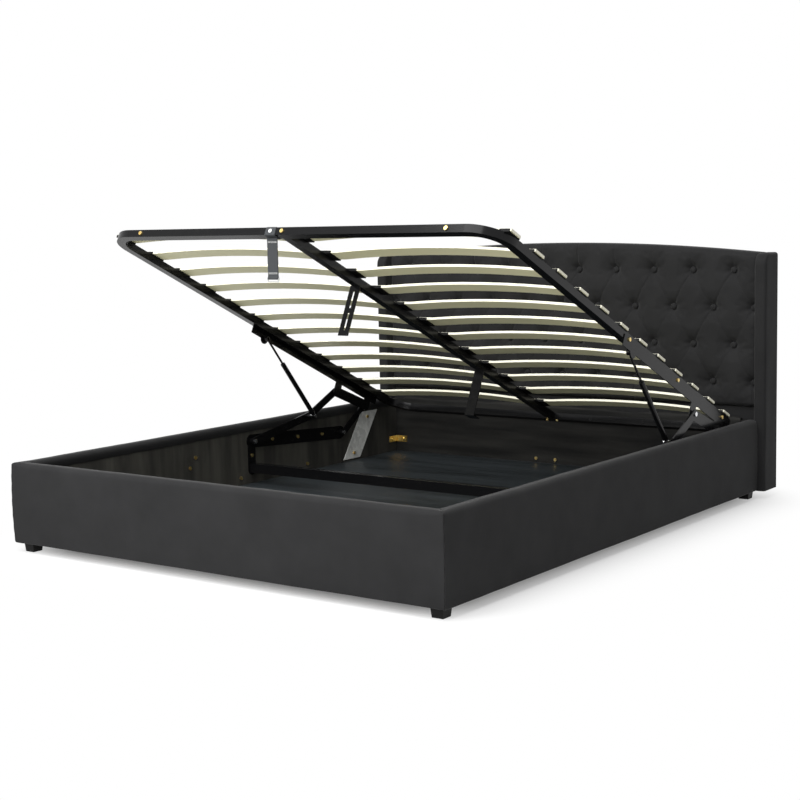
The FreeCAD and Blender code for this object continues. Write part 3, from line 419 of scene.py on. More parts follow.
# %% The outline of a padded rail
low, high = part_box("foot_rail_cover")
HALF_WIDTH = high[0]
FOOT_FACE = low[1]
RAIL_LOW, RAIL_TOP = low[2], high[2]
BOARD_SKIN, WRAP_DEEP, LIP, LIP_DEEP = 0.020, 0.040, 0.035, 0.047
CROWN, ROLL, EAR_ROLL, TOE, LIP_ROLL = 0.003, 0.018, 0.007, 0.006, 0.0135
LINING, TOP_FOAM, UNDER_WRAP = 0.002, 0.010, 0.003


def bow(centre, radius, start, stop, count):
    turn = np.radians(np.linspace(start, stop, count))
    return np.column_stack([centre[0] + radius * np.cos(turn), centre[1] + radius * np.sin(turn)])


def rail_skin(roll):
    """The leather side of the wrap as depth and height."""
    face_z = np.linspace(RAIL_LOW + TOE, RAIL_TOP - roll, 22)[1:-1]
    middle, reach = (RAIL_LOW + RAIL_TOP) / 2, (RAIL_TOP - RAIL_LOW) / 2
    face = np.column_stack([CROWN * (np.abs(face_z - middle) / reach) ** 2.2, face_z])
    top_d = np.linspace(CROWN + roll, LIP_DEEP - LIP_ROLL, 6)[1:-1]
    top = np.column_stack([top_d, np.full_like(top_d, RAIL_TOP)])
    tuck = np.linspace(0, 1, 6)[1:]
    lip = np.column_stack([LIP_DEEP - (LIP_DEEP - WRAP_DEEP) * tuck ** 1.6,
                           RAIL_TOP - LIP_ROLL - (LIP - LIP_ROLL) * tuck])
    return np.vstack([
        bow((CROWN + TOE, RAIL_LOW + TOE), TOE, 270, 180, 6), face,
        bow((CROWN + roll, RAIL_TOP - roll), roll, 180, 90, 13), top,
        bow((LIP_DEEP - LIP_ROLL, RAIL_TOP - LIP_ROLL), LIP_ROLL, 90, 0, 6), lip])


def rail_outline(roll):
    """The whole wrap, and for each of its points the direction in which it may move."""
    skin = rail_skin(roll)
    inner, top, bottom = WRAP_DEEP - LINING, RAIL_TOP - TOP_FOAM, RAIL_LOW + UNDER_WRAP
    hidden = np.array([(inner, RAIL_TOP - LIP), (inner, top), (BOARD_SKIN, top),
                       (BOARD_SKIN, bottom), (inner, bottom), (inner, RAIL_LOW)])
    along = np.gradient(skin, axis=0)
    outward = np.column_stack([-along[:, 1], along[:, 0]])
    outward /= np.linalg.norm(outward, axis=1)[:, None]
    return np.vstack([skin, hidden]), np.vstack([outward, np.zeros_like(hidden)])


outline, outward = rail_outline(ROLL)
ear_outline = rail_outline(EAR_ROLL)[0]
print("rail outline:", len(outline), "points")

# %% [markdown]
# Where two rails meet, the leather is sewn in a mitre: each cover turns in towards the seam, so the corner
# shows a thin dark line, and the soft roll of the top edge is pulled out into a small ear. The wrap is
# therefore drawn in over the last few millimetres, it goes over to a tighter roll near the mitre, and every
# point ends on the slanting seam.

# %% The three rail covers
SEAM_PULL, EAR_LONG = 0.003, 0.022
NEAR_SEAM = np.array([0, 0.0008, 0.002, 0.004, 0.007, 0.011, 0.017, 0.026, 0.040])
SEAM_ZONE, RING_STEP = 0.06, 0.022
BILLOW, RIPPLE, STRAIN, STRAIN_REACH = 0.0007, 0.00035, 0.0003, 0.03


def drawn_in(distance, radius):
    """How far a rounded edge falls back at a distance from its seam."""
    near = np.clip(radius - distance, 0, radius)
    return radius - np.sqrt(radius ** 2 - near ** 2)


def rail_wrap(length, seed, mitred):
    """Shares of the length and the outline at each."""
    middle = np.arange(SEAM_ZONE, length - SEAM_ZONE, RING_STEP)
    share = np.concatenate([NEAR_SEAM, middle, (length - NEAR_SEAM)[::-1]]) / length
    run = share[:, None] * length
    to_go = length - run
    around = np.cumsum(np.r_[0, np.linalg.norm(np.diff(outline, axis=0), axis=1)])[None]
    billow = BILLOW * uneven(run / 0.42, around / 0.35, seed)
    ripple = RIPPLE * uneven(run / 0.12, around / 0.16, seed + 1)
    corner = np.exp(-run / STRAIN_REACH) + np.exp(-to_go / STRAIN_REACH)
    strain = STRAIN * corner * np.sin(math.tau * (around / 0.04 + run / 0.09))
    pull = drawn_in(run, SEAM_PULL) + drawn_in(to_go, SEAM_PULL)
    shift = (billow + ripple + strain - pull)[..., None] * outward[None]
    ear = mitred[0] * np.exp(-run / EAR_LONG) + mitred[1] * np.exp(-to_go / EAR_LONG)
    return share, outline[None] + ear[..., None] * (ear_outline - outline)[None] + shift


SEAM_GAP, WING_GAP = 0.0003, 0.0006
share, wrap = rail_wrap(2 * HALF_WIDTH, 11, (1, 1))
reach = HALF_WIDTH - wrap[..., 0] - SEAM_GAP
rings = np.stack([reach * (2 * share[:, None] - 1), FOOT_FACE + wrap[..., 0], wrap[..., 1]], axis=-1)
piece("foot_rail_upholstery", [loft(rings)], "charcoal_leather", "upholstery", "bed_base",
                "foot_rail_cover")

WING_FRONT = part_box("left_wing_cover")[0][1]
for side, sign in zip(SIDES, (-1, 1)):
    share, wrap = rail_wrap(WING_FRONT - FOOT_FACE, 21 + sign, (1, 0))
    begin = FOOT_FACE + wrap[..., 0] + SEAM_GAP
    along = begin + (WING_FRONT - WING_GAP - begin) * share[:, None]
    rings = np.stack([sign * (HALF_WIDTH - wrap[..., 0]), along, wrap[..., 1]], axis=-1)
    piece(f"{side}_rail_upholstery", [loft(rings)], "charcoal_leather", "upholstery", "bed_base",
                    f"{side}_rail_cover")

# %% [markdown]
# ## The tufted headboard
# Foam is pulled back by forty-two buttons in staggered rows. Each button makes a dimple, and the spare
# leather between neighbours falls into diagonal pleats that are deep at the buttons and nearly vanish half
# way. From the top row pleats run up over the edge, and from the bottom row down into the seam.

# %% Where the buttons are
low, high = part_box("headboard_tufted_pad")
PAD_HALF, PAD_LOW, PEAK = high[0], low[2], high[2]
PAD_FRONT, LIP_BACK = low[1], high[1]
PANEL_FRONT = 1.031
ROWS, HALF_STEPS = 4, 10
PITCH, ROW_PITCH, BUTTON_DROP, RISE = 0.160, 0.137, 0.102, 0.040
ARCH_RADIUS = (PAD_HALF ** 2 + RISE ** 2) / (2 * RISE)
PAST_EDGE = 0.06


def arch(x):
    return PEAK - ARCH_RADIUS + np.sqrt(ARCH_RADIUS ** 2 - x ** 2)


tufts = {}
for row in range(ROWS):
    for step in range(-HALF_STEPS, HALF_STEPS + 1):
        if (row + step) % 2:
            tufts[row, step] = (step * PITCH / 2, PEAK - BUTTON_DROP - row * ROW_PITCH)
pleats = []
for (row, step), spot in tufts.items():
    for lean in (-1, 1):
        if (row + 1, step + lean) in tufts:
            pleats.append((spot, tufts[row + 1, step + lean], True, lean < 0))
    if row == 0:
        pleats.append((spot, (spot[0], float(arch(spot[0])) + PAST_EDGE), False, True))
    if row == ROWS - 1:
        pleats.append((spot, (spot[0], PAD_LOW - PAST_EDGE), False, True))
print(len(tufts), "buttons and", len(pleats), "pleats")

# %% [markdown]
# A pleat is a valley along the line between two buttons. One of its sides is steeper, because the leather
# is folded one way; pleats that lean the other way are softer.

# %% Depth of the pleats
PLEAT_LEAST, PLEAT_MORE, PLEAT_FADE = 0.0020, 0.0065, 0.012
PLEAT_NEAR, WANDER = 0.05, 0.0016
CRISP_SIDES, SOFT_SIDES = (0.0034, 0.0017), (0.006, 0.009)
FOLD_SHARE, HOLLOW_WIDE = 0.85, 0.016


def pleat_depth(x, z):
    depth = np.zeros_like(x)
    for number, ((ax, az), (bx, bz), both_ends, crisp) in enumerate(pleats):
        reach = math.hypot(bx - ax, bz - az)
        ux, uz = (bx - ax) / reach, (bz - az) / reach
        around = reach / 2 + PLEAT_NEAR
        near = (np.abs(x - (ax + bx) / 2) < around) & (np.abs(z - (az + bz) / 2) < around)
        run = ((x[near] - ax) * ux + (z[near] - az) * uz) / reach
        wander = WANDER * np.sin(math.pi * np.clip(run, 0, 1)) * math.sin(number * 2.4)
        off = (z[near] - az) * ux - (x[near] - ax) * uz + wander
        slack = np.abs(2 * run - 1) if both_ends else np.clip(1 - 0.75 * run, 0, 1)
        own = 0.65 + 0.35 * math.sin(number * 1.9)
        deep = (PLEAT_LEAST + PLEAT_MORE * np.clip(slack, 0, 1) ** 1.3) * own
        fade = np.clip(1 - np.maximum(-run, run - 1) * reach / PLEAT_FADE, 0, 1)
        above, below = CRISP_SIDES if crisp else SOFT_SIDES
        fold = np.exp(-np.abs(off) / np.where(off > 0, above, below))
        valley = FOLD_SHARE * fold + (1 - FOLD_SHARE) * np.exp(-(off / HOLLOW_WIDE) ** 2)
        depth[near] = np.maximum(depth[near], deep * valley * fade)
    return depth


print("pleats up to", round(1000 * (PLEAT_LEAST + PLEAT_MORE), 1), "mm deep")

# %% [markdown]
# A dimple is flat where the button sits and opens like a funnel, and round its rim the leather gathers in
# small puckers. Inside it the pleats fade and the slow swell of the foam ends.

# %% Depth of the dimples
TUFT_DEEP, SEAT = 0.020, 0.0125
DIMPLE_NEAR, DIMPLE_WIDE = 0.1, 0.0145
PUCKER, PUCKER_AT, PUCKER_WIDE, PUCKERS, SWELL = 0.0009, 0.024, 0.012, 7, 0.0006


def tuft_depth(x, z):
    dimple = np.zeros_like(x)
    pucker = np.zeros_like(x)
    for number, (tx, tz) in enumerate(tufts.values()):
        near = (np.abs(x - tx) < DIMPLE_NEAR) & (np.abs(z - tz) < DIMPLE_NEAR)
        away = np.hypot(x[near] - tx, z[near] - tz)
        turn = np.arctan2(z[near] - tz, x[near] - tx)
        slope = np.clip(away - SEAT, 0, None)
        dimple[near] = np.maximum(dimple[near], np.exp(-(slope / DIMPLE_WIDE) ** 1.2))
        gather = np.exp(-((away - PUCKER_AT) / PUCKER_WIDE) ** 2)
        pucker[near] += PUCKER * gather * np.sin(PUCKERS * turn + number * 1.7)
    swell = SWELL * uneven(x / 0.21, z / 0.17, 31)
    return TUFT_DEEP * dimple + pleat_depth(x, z) * (1 - 0.7 * dimple) + pucker + swell * (1 - dimple)


print("dimples", round(1000 * TUFT_DEEP), "mm deep")

# %% [markdown]
# The grid is closer at the edges, where the leather turns over the foam, and its top follows the arch.

# %% The grid of the face
SIDE_TURN, FOOT_TURN, TOP_TURN, DEEPEST = 0.016, 0.014, 0.022, 0.034
near_side = [0, 0.0006, 0.0018, 0.0036, 0.006, 0.009, 0.0125]
from_side = np.concatenate([near_side, np.arange(0.015, PAD_HALF, 0.0025)])
columns = np.concatenate([from_side - PAD_HALF, (PAD_HALF - from_side)[::-1]])
near_foot, near_top = [0, 0.0012, 0.004, 0.009, 0.016], [0.982, 0.990, 0.996, 1]
climb = np.concatenate([near_foot, np.linspace(0.025, 0.972, 230), near_top])
print("face grid:", len(columns), "by", len(climb))


def tufted_face(columns, climb, tufting=1):
    """Points of the face, and how far each one is from the edge."""
    x = columns[:, None] + 0 * climb[None]
    top = arch(columns)[:, None]
    z = PAD_LOW + (top - PAD_LOW) * climb[None]
    turned = drawn_in(PAD_HALF - np.abs(x), SIDE_TURN) + drawn_in(z - PAD_LOW, FOOT_TURN)
    turned += drawn_in(top - z, TOP_TURN)
    y = PAD_FRONT + np.minimum(tufting * tuft_depth(x, z) + turned, DEEPEST)
    inside = np.minimum(np.minimum(z - PAD_LOW, top - z), PAD_HALF - np.abs(x))
    return np.stack([x, y, z], axis=-1), inside


# %% [markdown]
# ## Letting the leather settle
# A formula alone is too regular for leather. The upholsterer cuts the leather a little larger than the
# foam, pulls it in at the buttons, and the spare gathers round them in creases that no two buttons share.
# So a coarser sheet of the same face goes through a cloth run: it is held at the buttons and along the
# edge, its lengths are those of the flat cut plus a little spare, and the foam behind it is a steady
# pressure. Only what the run moves is kept.

# %% A cloth run on a coarse sheet
def cloth_run(start, cut, held, spare, pressure, frames=20):
    wide, tall = start.shape[:2]
    index = np.arange(wide * tall).reshape(wide, tall)
    quads = np.stack([index[:-1, :-1], index[1:, :-1], index[1:, 1:], index[:-1, 1:]], axis=-1)
    sheet = add_object("cloth_run", start.reshape(-1, 3).tolist(), quads.reshape(-1, 4).tolist())
    sheet.shape_key_add(name="sewn")
    flat = sheet.shape_key_add(name="cut")
    flat.data.foreach_set("co", cut.reshape(-1).astype(np.float32))
    flat.value = 0
    sheet.vertex_groups.new(name="held").add(np.flatnonzero(held).tolist(), 1, "REPLACE")
    cloth = sheet.modifiers.new("cloth", "CLOTH")
    leather = {"quality": 5, "mass": 0.3, "tension_stiffness": 15, "compression_stiffness": 15,
               "shear_stiffness": 5, "bending_stiffness": 2, "air_damping": 1, "vertex_group_mass": "held",
               "rest_shape_key": flat, "shrink_min": -spare, "use_pressure": True,
               "uniform_pressure_force": pressure}
    for name, setting in leather.items():
        setattr(cloth.settings, name, setting)
    cloth.settings.effector_weights.gravity = 0
    for number in range(1, frames + 1):
        bpy.context.scene.frame_set(number)
    settled = np.empty(start.size, np.float32)
    sheet.evaluated_get(bpy.context.evaluated_depsgraph_get()).data.vertices.foreach_get("co", settled)
    mesh = sheet.data
    bpy.data.objects.remove(sheet)
    bpy.data.meshes.remove(mesh)
    bpy.context.scene.frame_set(1)
    return settled.reshape(start.shape) - start


print("cloth run ready")

# %% [markdown]
# The sheet starts a little behind the sewn face, so that the foam has something to push. What the run moves
# is held to a few millimetres.

# %% Settle the sheet
MESH_STEP, SPARE, FOAM_PUSH, MOVES_AT_MOST = 0.006, 0.012, 2.5, 0.004
START_BACK, HELD_EDGE = 0.003, 0.012
coarse_columns = np.linspace(-PAD_HALF, PAD_HALF, round(2 * PAD_HALF / MESH_STEP))
coarse_climb = np.linspace(0, 1, round((PEAK - PAD_LOW) / MESH_STEP))
settling = np.zeros((len(coarse_columns), len(coarse_climb), 3))
start, inside = tufted_face(coarse_columns, coarse_climb)
start[..., 1] += START_BACK
cut, _ = tufted_face(coarse_columns, coarse_climb, 0)
to_buttons = [np.hypot(start[..., 0] - tx, start[..., 2] - tz) for tx, tz in tufts.values()]
held = (np.min(to_buttons, axis=0) < SEAT) | (inside < HELD_EDGE)
settling = cloth_run(start, cut, held, SPARE, FOAM_PUSH)
moved = np.linalg.norm(settling, axis=-1, keepdims=True)
settling *= np.minimum(1, MOVES_AT_MOST / np.maximum(moved, 1e-9))
print("leather settled by", round(float(moved.max()) * 1000, 1), "mm, kept to", MOVES_AT_MOST * 1000)

# %% [markdown]
# The run gives one vector for each point of the coarse sheet. The fine face reads them in between, first
# along the rows and then up the columns, and a short average takes off the corners of that reading.

# %% The tufted pad
LIP_SWELL, LIP_DROP = 0.0012, 0.008
BACK_SHARE, BACK_RISE, BACK_LOW = 0.4, 0.3, 0.05


def read_between(values):
    rows = np.apply_along_axis(lambda line: np.interp(columns, coarse_columns, line), 0, values)
    fine = np.apply_along_axis(lambda line: np.interp(climb, coarse_climb, line), 1, rows)
    for _ in range(2):
        fine[1:-1] = (fine[:-2] + 2 * fine[1:-1] + fine[2:]) / 4
        fine[:, 1:-1] = (fine[:, :-2] + 2 * fine[:, 1:-1] + fine[:, 2:]) / 4
    return fine


def column_points(columns, path):
    """A path of (y, z) repeated at every column; y and z may change from column to column."""
    rows = [np.column_stack([columns, back + 0 * columns, level + 0 * columns]) for back, level in path]
    return np.stack(rows, axis=1)


front, inside = tufted_face(columns, climb)
front += read_between(settling) * np.clip(inside / HELD_EDGE, 0, 1)[..., None]
ridge = arch(columns)
rim_y = front[:, -1, 1]
over = [(rim_y + (LIP_BACK - rim_y) * part, ridge + LIP_SWELL * math.sin(math.pi * part))
        for part in np.linspace(0.25, 1, 6)]
behind = [(LIP_BACK, ridge - LIP_DROP), (PANEL_FRONT, ridge - LIP_DROP),
          (PANEL_FRONT, ridge * BACK_SHARE + BACK_RISE), (PANEL_FRONT, PAD_LOW + BACK_LOW),
          (PANEL_FRONT, PAD_LOW)]
rings = np.concatenate([front, column_points(columns, over + behind)], axis=1)
tufted = piece("tufted_headboard", [loft(rings)], "charcoal_leather", "upholstery", "bed_base",
               "headboard_tufted_pad", sharp=60)

# %% [markdown]
# ## Covered buttons
# A covered button is a shallow metal shell with a disc of leather pulled over it. One button is turned from
# rings, and copies of it sit in the dimples.

# %% Buttons
RIM = [(0.0098, 0.0), (0.0108, 0.0012), (0.0111, 0.0026), (0.0107, 0.0042),
       (0.0094, 0.0058), (0.0070, 0.0070), (0.0040, 0.0077), (0.0012, 0.0080)]
BUTTON_EDGE = 0.0115
turn = np.linspace(0, math.tau, 28, endpoint=False)
button = np.stack([np.column_stack([wide * np.cos(turn), np.full_like(turn, -proud), wide * np.sin(turn)])
                   for wide, proud in RIM])
parts = []
for tx, tz in tufts.values():
    kept_in = np.clip(tx, -PAD_HALF + BUTTON_EDGE, PAD_HALF - BUTTON_EDGE)
    parts.append(loft(button + np.array([kept_in, PAD_FRONT + TUFT_DEEP, tz])))
piece("covered_buttons", parts, "charcoal_leather", "upholstery", "bed_base", "headboard_buttons")

# %% [markdown]
# ## The plain band below the tufting
# Under the tufted pad the headboard is covered with one flat panel, which the low board of the well stands
# against. It only shows as a strip, so its top edge is rolled and its face slightly slack.

# %% Lower band
BAND_GAP, BAND_FACE, BAND_SET, BAND_ROLL, BAND_SLACK = 0.0002, 0.0006, 0.0008, 0.010, 0.0005
low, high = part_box("headboard_lower_band")
columns = np.linspace(low[0] + BAND_GAP, high[0] - BAND_GAP, 120)
face = []
for level in np.linspace(low[2], high[2] - BAND_ROLL, 26):
    slack = BAND_SLACK * (1 + uneven(columns / 0.3, level / 0.2, 41))
    face.append((low[1] + BAND_FACE + slack, level))
bend = bow((low[1] + BAND_ROLL + BAND_SET, high[2] - BAND_ROLL - BAND_GAP), BAND_ROLL, 180, 90, 7)
back = [(high[1], high[2] - BAND_GAP), (high[1], low[2])]
rings = column_points(columns, [*face, *bend, *back])
piece("headboard_plain_band", [loft(rings)], "charcoal_leather", "upholstery", "bed_base",
                "headboard_lower_band")

# %% [markdown]
# ## Wings
# A wing is a narrow board wrapped in foam and leather like a folded glove: rounded along the front, round
# at the top corner, open at the back and underneath. It is lofted from slices at rising heights. Each slice
# is a U; above the board's top edge the inside of the U is closed by moving its points to the back.

# %% One slice of a wing
WING_BEND, WING_EDGE, WING_WALL, WING_FOAM = 0.045, 0.011, 0.014, 0.012
BROW_LEAST, BROW_SWELL, SHUT_IN = 0.001, 0.0012, 0.002


def wing_ring(level, box_low, box_high, collapsed):
    rise = max(level - (box_high[2] - WING_BEND), 0)
    front = box_low[1] + WING_BEND - math.sqrt(max(WING_BEND ** 2 - rise ** 2, 0))
    over = max(level - (box_high[2] - WING_EDGE), 0)
    shrink = WING_EDGE - math.sqrt(max(WING_EDGE ** 2 - over ** 2, 0))
    back = box_high[1]
    x0, x1 = box_low[0] + shrink, box_high[0] - shrink
    edge = min(WING_EDGE, (x1 - x0) / 2 - BROW_LEAST)
    corner_a = bow((x0 + edge, front + edge), edge, 180, 270, 7)
    corner_b = bow((x1 - edge, front + edge), edge, 270, 360, 7)
    swell = np.linspace(0, 1, 7)[1:-1]
    brow = np.column_stack([x0 + edge + (x1 - x0 - 2 * edge) * swell,
                            front - BROW_SWELL * np.sin(math.pi * swell)])
    depth = np.linspace(0, 1, 9)[:-1]
    cheek_a = np.column_stack([x0 + 0 * depth, back + (front + edge - back) * depth])
    cheek_b = np.column_stack([x1 + 0 * depth, back + (front + edge - back) * depth])[::-1]
    well_a, well_b = box_low[0] + WING_WALL, box_high[0] - WING_WALL
    deep = back if collapsed else box_low[1] + WING_FOAM
    inside = np.array([(well_b, back), (well_b, (back + deep) / 2), (well_b, deep), (well_a, deep),
                       (well_a, (back + deep) / 2), (well_a, back)])
    if collapsed:
        inside[:, 0] = np.linspace(x1 - SHUT_IN, x0 + SHUT_IN, 6)
    flat = np.vstack([cheek_a, corner_a, brow, corner_b, cheek_b, inside])
    return np.column_stack([flat, np.full(len(flat), level)])


print("wing corners of", round(1000 * WING_BEND), "mm")

# %% [markdown]
# The slices are close together round the top corner. The sides are then drawn in a little and made uneven;
# only the edge at the back stays where it is.

# %% The two wings
TOP_GAP, CHEEK_HALF, BACK_EDGE, TIGHT, PUFF = 0.00002, 0.0225, 0.004, 0.0008, 0.0007
for side in SIDES:
    low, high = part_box(f"{side}_wing_cover")
    ceiling = high[2] - WING_FOAM
    plain = np.linspace(low[2], high[2] - WING_BEND, 44)
    curve = high[2] - WING_BEND + WING_BEND * np.sin(np.linspace(0, math.pi / 2, 22))
    levels = np.concatenate([plain, curve[1:]])
    below, above = levels[levels < ceiling], levels[levels > ceiling]
    slices = [wing_ring(level, low, high, False) for level in (*below, ceiling)]
    slices += [wing_ring(level, low, high, True) for level in (ceiling, *above[:-1], high[2] - TOP_GAP)]
    rings = np.stack(slices)
    centre = (low[0] + high[0]) / 2
    cheek = np.abs(rings[..., 0] - centre) > CHEEK_HALF
    puff = PUFF * uneven(rings[..., 1] / 0.1, rings[..., 2] / 0.22, 51) * cheek
    inward = np.where(rings[..., 0] > centre, -1, 1) * (rings[..., 1] < high[1] - BACK_EDGE)
    rings[..., 0] += inward * (TIGHT + puff)
    piece(f"{side}_wing_upholstery", [loft(rings)], "charcoal_leather", "upholstery", "bed_base",
                    f"{side}_wing_cover")

# %% [markdown]
# ## Cloth on the back of the headboard
# The back is closed with a thin bonded cloth. Its edge is turned in and held with staples, and between them
# it lies a little slack. The cloth is a thin loft that follows the arch.

# %% Back cloth
HEM_WIDE, HEM_STEP, HEM_THICK = 0.016, 0.0025, 0.0007
CLOTH_SET, CLOTH_BACK, CLOTH_SLACK, SLACK_FROM = 0.0009, 0.0003, 0.0007, 0.06
low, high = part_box("headboard_back_cloth")
BACK_HALF = high[0]
columns = np.linspace(low[0], high[0], 150)
ridge = arch(columns * PAD_HALF / BACK_HALF)
near_foot, near_top = [0, 0.004, 0.015, 0.017], [0.983, 0.985, 0.996, 1]
climb = np.concatenate([near_foot, np.linspace(0.03, 0.97, 60), near_top])
z = low[2] + (ridge[:, None] - low[2]) * climb[None]
x = columns[:, None] + 0 * z
border = np.minimum(np.minimum(z - low[2], ridge[:, None] - z), BACK_HALF - np.abs(x))
hem = np.clip((HEM_WIDE - border) / HEM_STEP, 0, 1)
slack = np.clip(border / SLACK_FROM, 0, 1)
y = high[1] - CLOTH_SET + HEM_THICK * hem + slack * CLOTH_SLACK * uneven(x / 0.35, z / 0.5, 61)
outer = np.stack([x, y, z], axis=-1)
inner = np.stack([x, np.full_like(x, low[1] + CLOTH_BACK), z], axis=-1)[:, ::-1]
back_cloth = piece("back_cloth", [loft(np.concatenate([outer, inner], axis=1))], "bonded_cloth", "cloth",
                   "bed_base", "headboard_back_cloth")

# %% [markdown]
# A staple is a flat wire with its two ends bent in. Staples go round the hem at an even pitch.

# %% Staples
STAPLE_PITCH, STAPLE_IN, STAPLE_SET = 0.076, 0.009, 0.0002
SIDE_FROM, SIDE_TO = 0.09, 0.87


def staple(centre, along):
    half, proud, bend, wide, thin = 0.0055, 0.0007, 0.0008, 0.0006, 0.0003
    path = [(-half, -bend), (-half, proud * 0.7), (-half + bend, proud),
            (half - bend, proud), (half, proud * 0.7), (half, -bend)]
    turn = np.linspace(0, math.tau, 8, endpoint=False)
    side = np.cross(along, (0, 1, 0))
    rings = []
    for number, (run, out) in enumerate(path):
        at_end = number in (0, len(path) - 1)
        flat = np.array(along) if at_end else np.array((0, 1, 0))
        around = [side * wide * math.cos(t) + flat * thin * math.sin(t) for t in turn]
        rings.append(np.array(centre) + np.array(along) * run + np.array((0, out, 0)) + np.array(around))
    return loft(np.array(rings))


staples = []
face = high[1] - STAPLE_SET
for run in np.arange(-10, 11) * STAPLE_PITCH:
    staples.append(staple((run, face, low[2] + STAPLE_IN), (1, 0, 0)))
    staples.append(staple((run, face, float(arch(run * PAD_HALF / BACK_HALF)) - STAPLE_IN), (1, 0, 0)))
for level in np.arange(SIDE_FROM, SIDE_TO, STAPLE_PITCH):
    for edge in (low[0] + STAPLE_IN, high[0] - STAPLE_IN):
        staples.append(staple((edge, face, level), (0, 0, 1)))
piece("back_cloth_staples", staples, "polished_steel", "bright_steel", "bed_base")

# %% [markdown]
# ## The loose edge of the lining at the head
# The low board at the head end of the well has its lining folded over the top, and the fold is neither
# straight nor tight: it rises and falls along the board. It is a strip that goes up the front of the board,
# over it and down to the headboard.

# %% Lining flap
FLAP_IN, FLAP_LONG = 0.045, 0.085
CREST_LEAST, CREST_MORE, CREST_FINE = 0.0025, 0.012, 0.0012
FLAP_LOW, FLAP_HIGH, RAGGED = 0.045, 0.004, 0.003
LOOSE_LEAST, LOOSE_MORE, FLAP_SET, FLAP_LIFT = 0.0008, 0.0011, 0.0016, 0.001
FLAP_SHORT, FLAP_THICK, FLAP_UNDER = 0.0005, 0.0007, 0.0008
low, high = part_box("head_inner_board")
columns = np.linspace(low[0] + FLAP_IN, high[0] - FLAP_IN, 240)
wave = 0.5 + 0.5 * uneven(columns / 0.26, columns * 0, 71)
fine = uneven(columns / 0.07, columns * 0, 72)
crest = CREST_LEAST + CREST_MORE * np.clip(wave, 0, 1.1) + CREST_FINE * fine
path = []
for level in np.linspace(FLAP_LOW, FLAP_HIGH, 9):
    loose = LOOSE_LEAST + LOOSE_MORE * (1 + uneven(columns / 0.12, level / 0.05 + columns * 0, 73))
    ragged = RAGGED * fine if level == FLAP_LOW else 0
    path.append((low[1] - loose, high[2] - level + ragged))
for part in np.linspace(0, 1, 8):
    bend = math.pi * part
    path.append((low[1] - FLAP_SET + (high[1] - low[1] - FLAP_SHORT) * (1 - math.cos(bend)) / 2,
                 high[2] + FLAP_LIFT + crest * math.sin(bend)))
outer = column_points(columns, path)
inner = outer[:, ::-1].copy()
inner[..., 1] += FLAP_THICK * (inner[..., 1] < inner[..., 1].mean())
inner[..., 2] -= FLAP_UNDER
rings = np.concatenate([outer, inner], axis=1)
# The flap wears the darker head lining, whose colour is painted shade.
strip = piece("lining_flap", [loft(rings)], "shaded_head_lining", "cloth", "bed_base")

# %% [markdown]
# ## The lift strap
# To open the bed one pulls a strap of webbing that is wrapped round the foot tube. The wrap stays with the
# platform. The tail hangs from it, runs round the bar of a metal ring and comes back up, sewn to itself.
# Both are a flat band of webbing carried round a closed path.

# %% A band of webbing round a path
def band(path, x0, x1, thick):
    """path is a closed loop of (y, z); the band has its flat side along X."""
    path = np.asarray(path)
    ahead = np.roll(path, -1, axis=0) - np.roll(path, 1, axis=0)
    ahead /= np.linalg.norm(ahead, axis=1)[:, None]
    out = np.column_stack([ahead[:, 1], -ahead[:, 0]])
    across = np.linspace(0, 1, 9)
    edge = thick / 2 * (1 - 0.35 * np.abs(2 * across - 1) ** 8)
    rings = []
    for spot, normal in zip(path, out):
        upper = [(x0 + (x1 - x0) * part, *(spot + normal * lift)) for part, lift in zip(across, edge)]
        lower = [(x0 + (x1 - x0) * part, *(spot - normal * lift)) for part, lift in zip(across, edge)]
        rings.append(upper + lower[::-1])
    return loft(np.array(rings), round_trip=True)


def rounded_path(corners, radius, count=6):
    """A closed path through corners that are each replaced by an arc."""
    corners = np.asarray(corners, float)
    points = []
    for before, corner, after in zip(np.roll(corners, 1, axis=0), corners, np.roll(corners, -1, axis=0)):
        a = corner + (before - corner) / np.linalg.norm(before - corner) * radius
        b = corner + (after - corner) / np.linalg.norm(after - corner) * radius
        share = np.linspace(0, 1, count)[:, None]
        points.append((1 - share) ** 2 * a + 2 * share * (1 - share) * corner + share ** 2 * b)
    return np.vstack(points)


print("webbing ready")

# %% [markdown]
# The tail's two layers lie against each other, and part above the ring to go round its bar.

# %% The tail of the strap
HALF_APART, ROUND_BAR, PARTS_AT = 0.00105, 0.0029, 0.006
RING_BAR, UNDER_BAR, TAIL_TOP_GAP, BAR_TOP = 0.004, 0.001, 0.002, 0.0005
TAIL_BEND, TAIL_THICK = 0.0009, 0.0016
low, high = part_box("lift_strap")
strap_x = (low[0], high[0])
strap_y = (low[1] + high[1]) / 2
tail_top, tail_end = high[2] - TAIL_TOP_GAP, low[2]
half_tail = [(HALF_APART, tail_top), (HALF_APART, tail_end + PARTS_AT), (ROUND_BAR, tail_end - BAR_TOP),
             (ROUND_BAR, tail_end - RING_BAR - UNDER_BAR)]
tail = [(strap_y - aside, level) for aside, level in half_tail]
tail += [(strap_y + aside, level) for aside, level in half_tail[::-1]]
tail = rounded_path(tail, TAIL_BEND)
piece("strap_tail", [band(tail, *strap_x, TAIL_THICK)], "grey_webbing", "webbing", "lift_strap", "lift_strap",
      sharp=60)
print("strap tail", round(tail_top - tail_end, 4), "m long")

# %% [markdown]
# The foot tube slopes with the platform, so the wrap is set out along the slope and square to it.

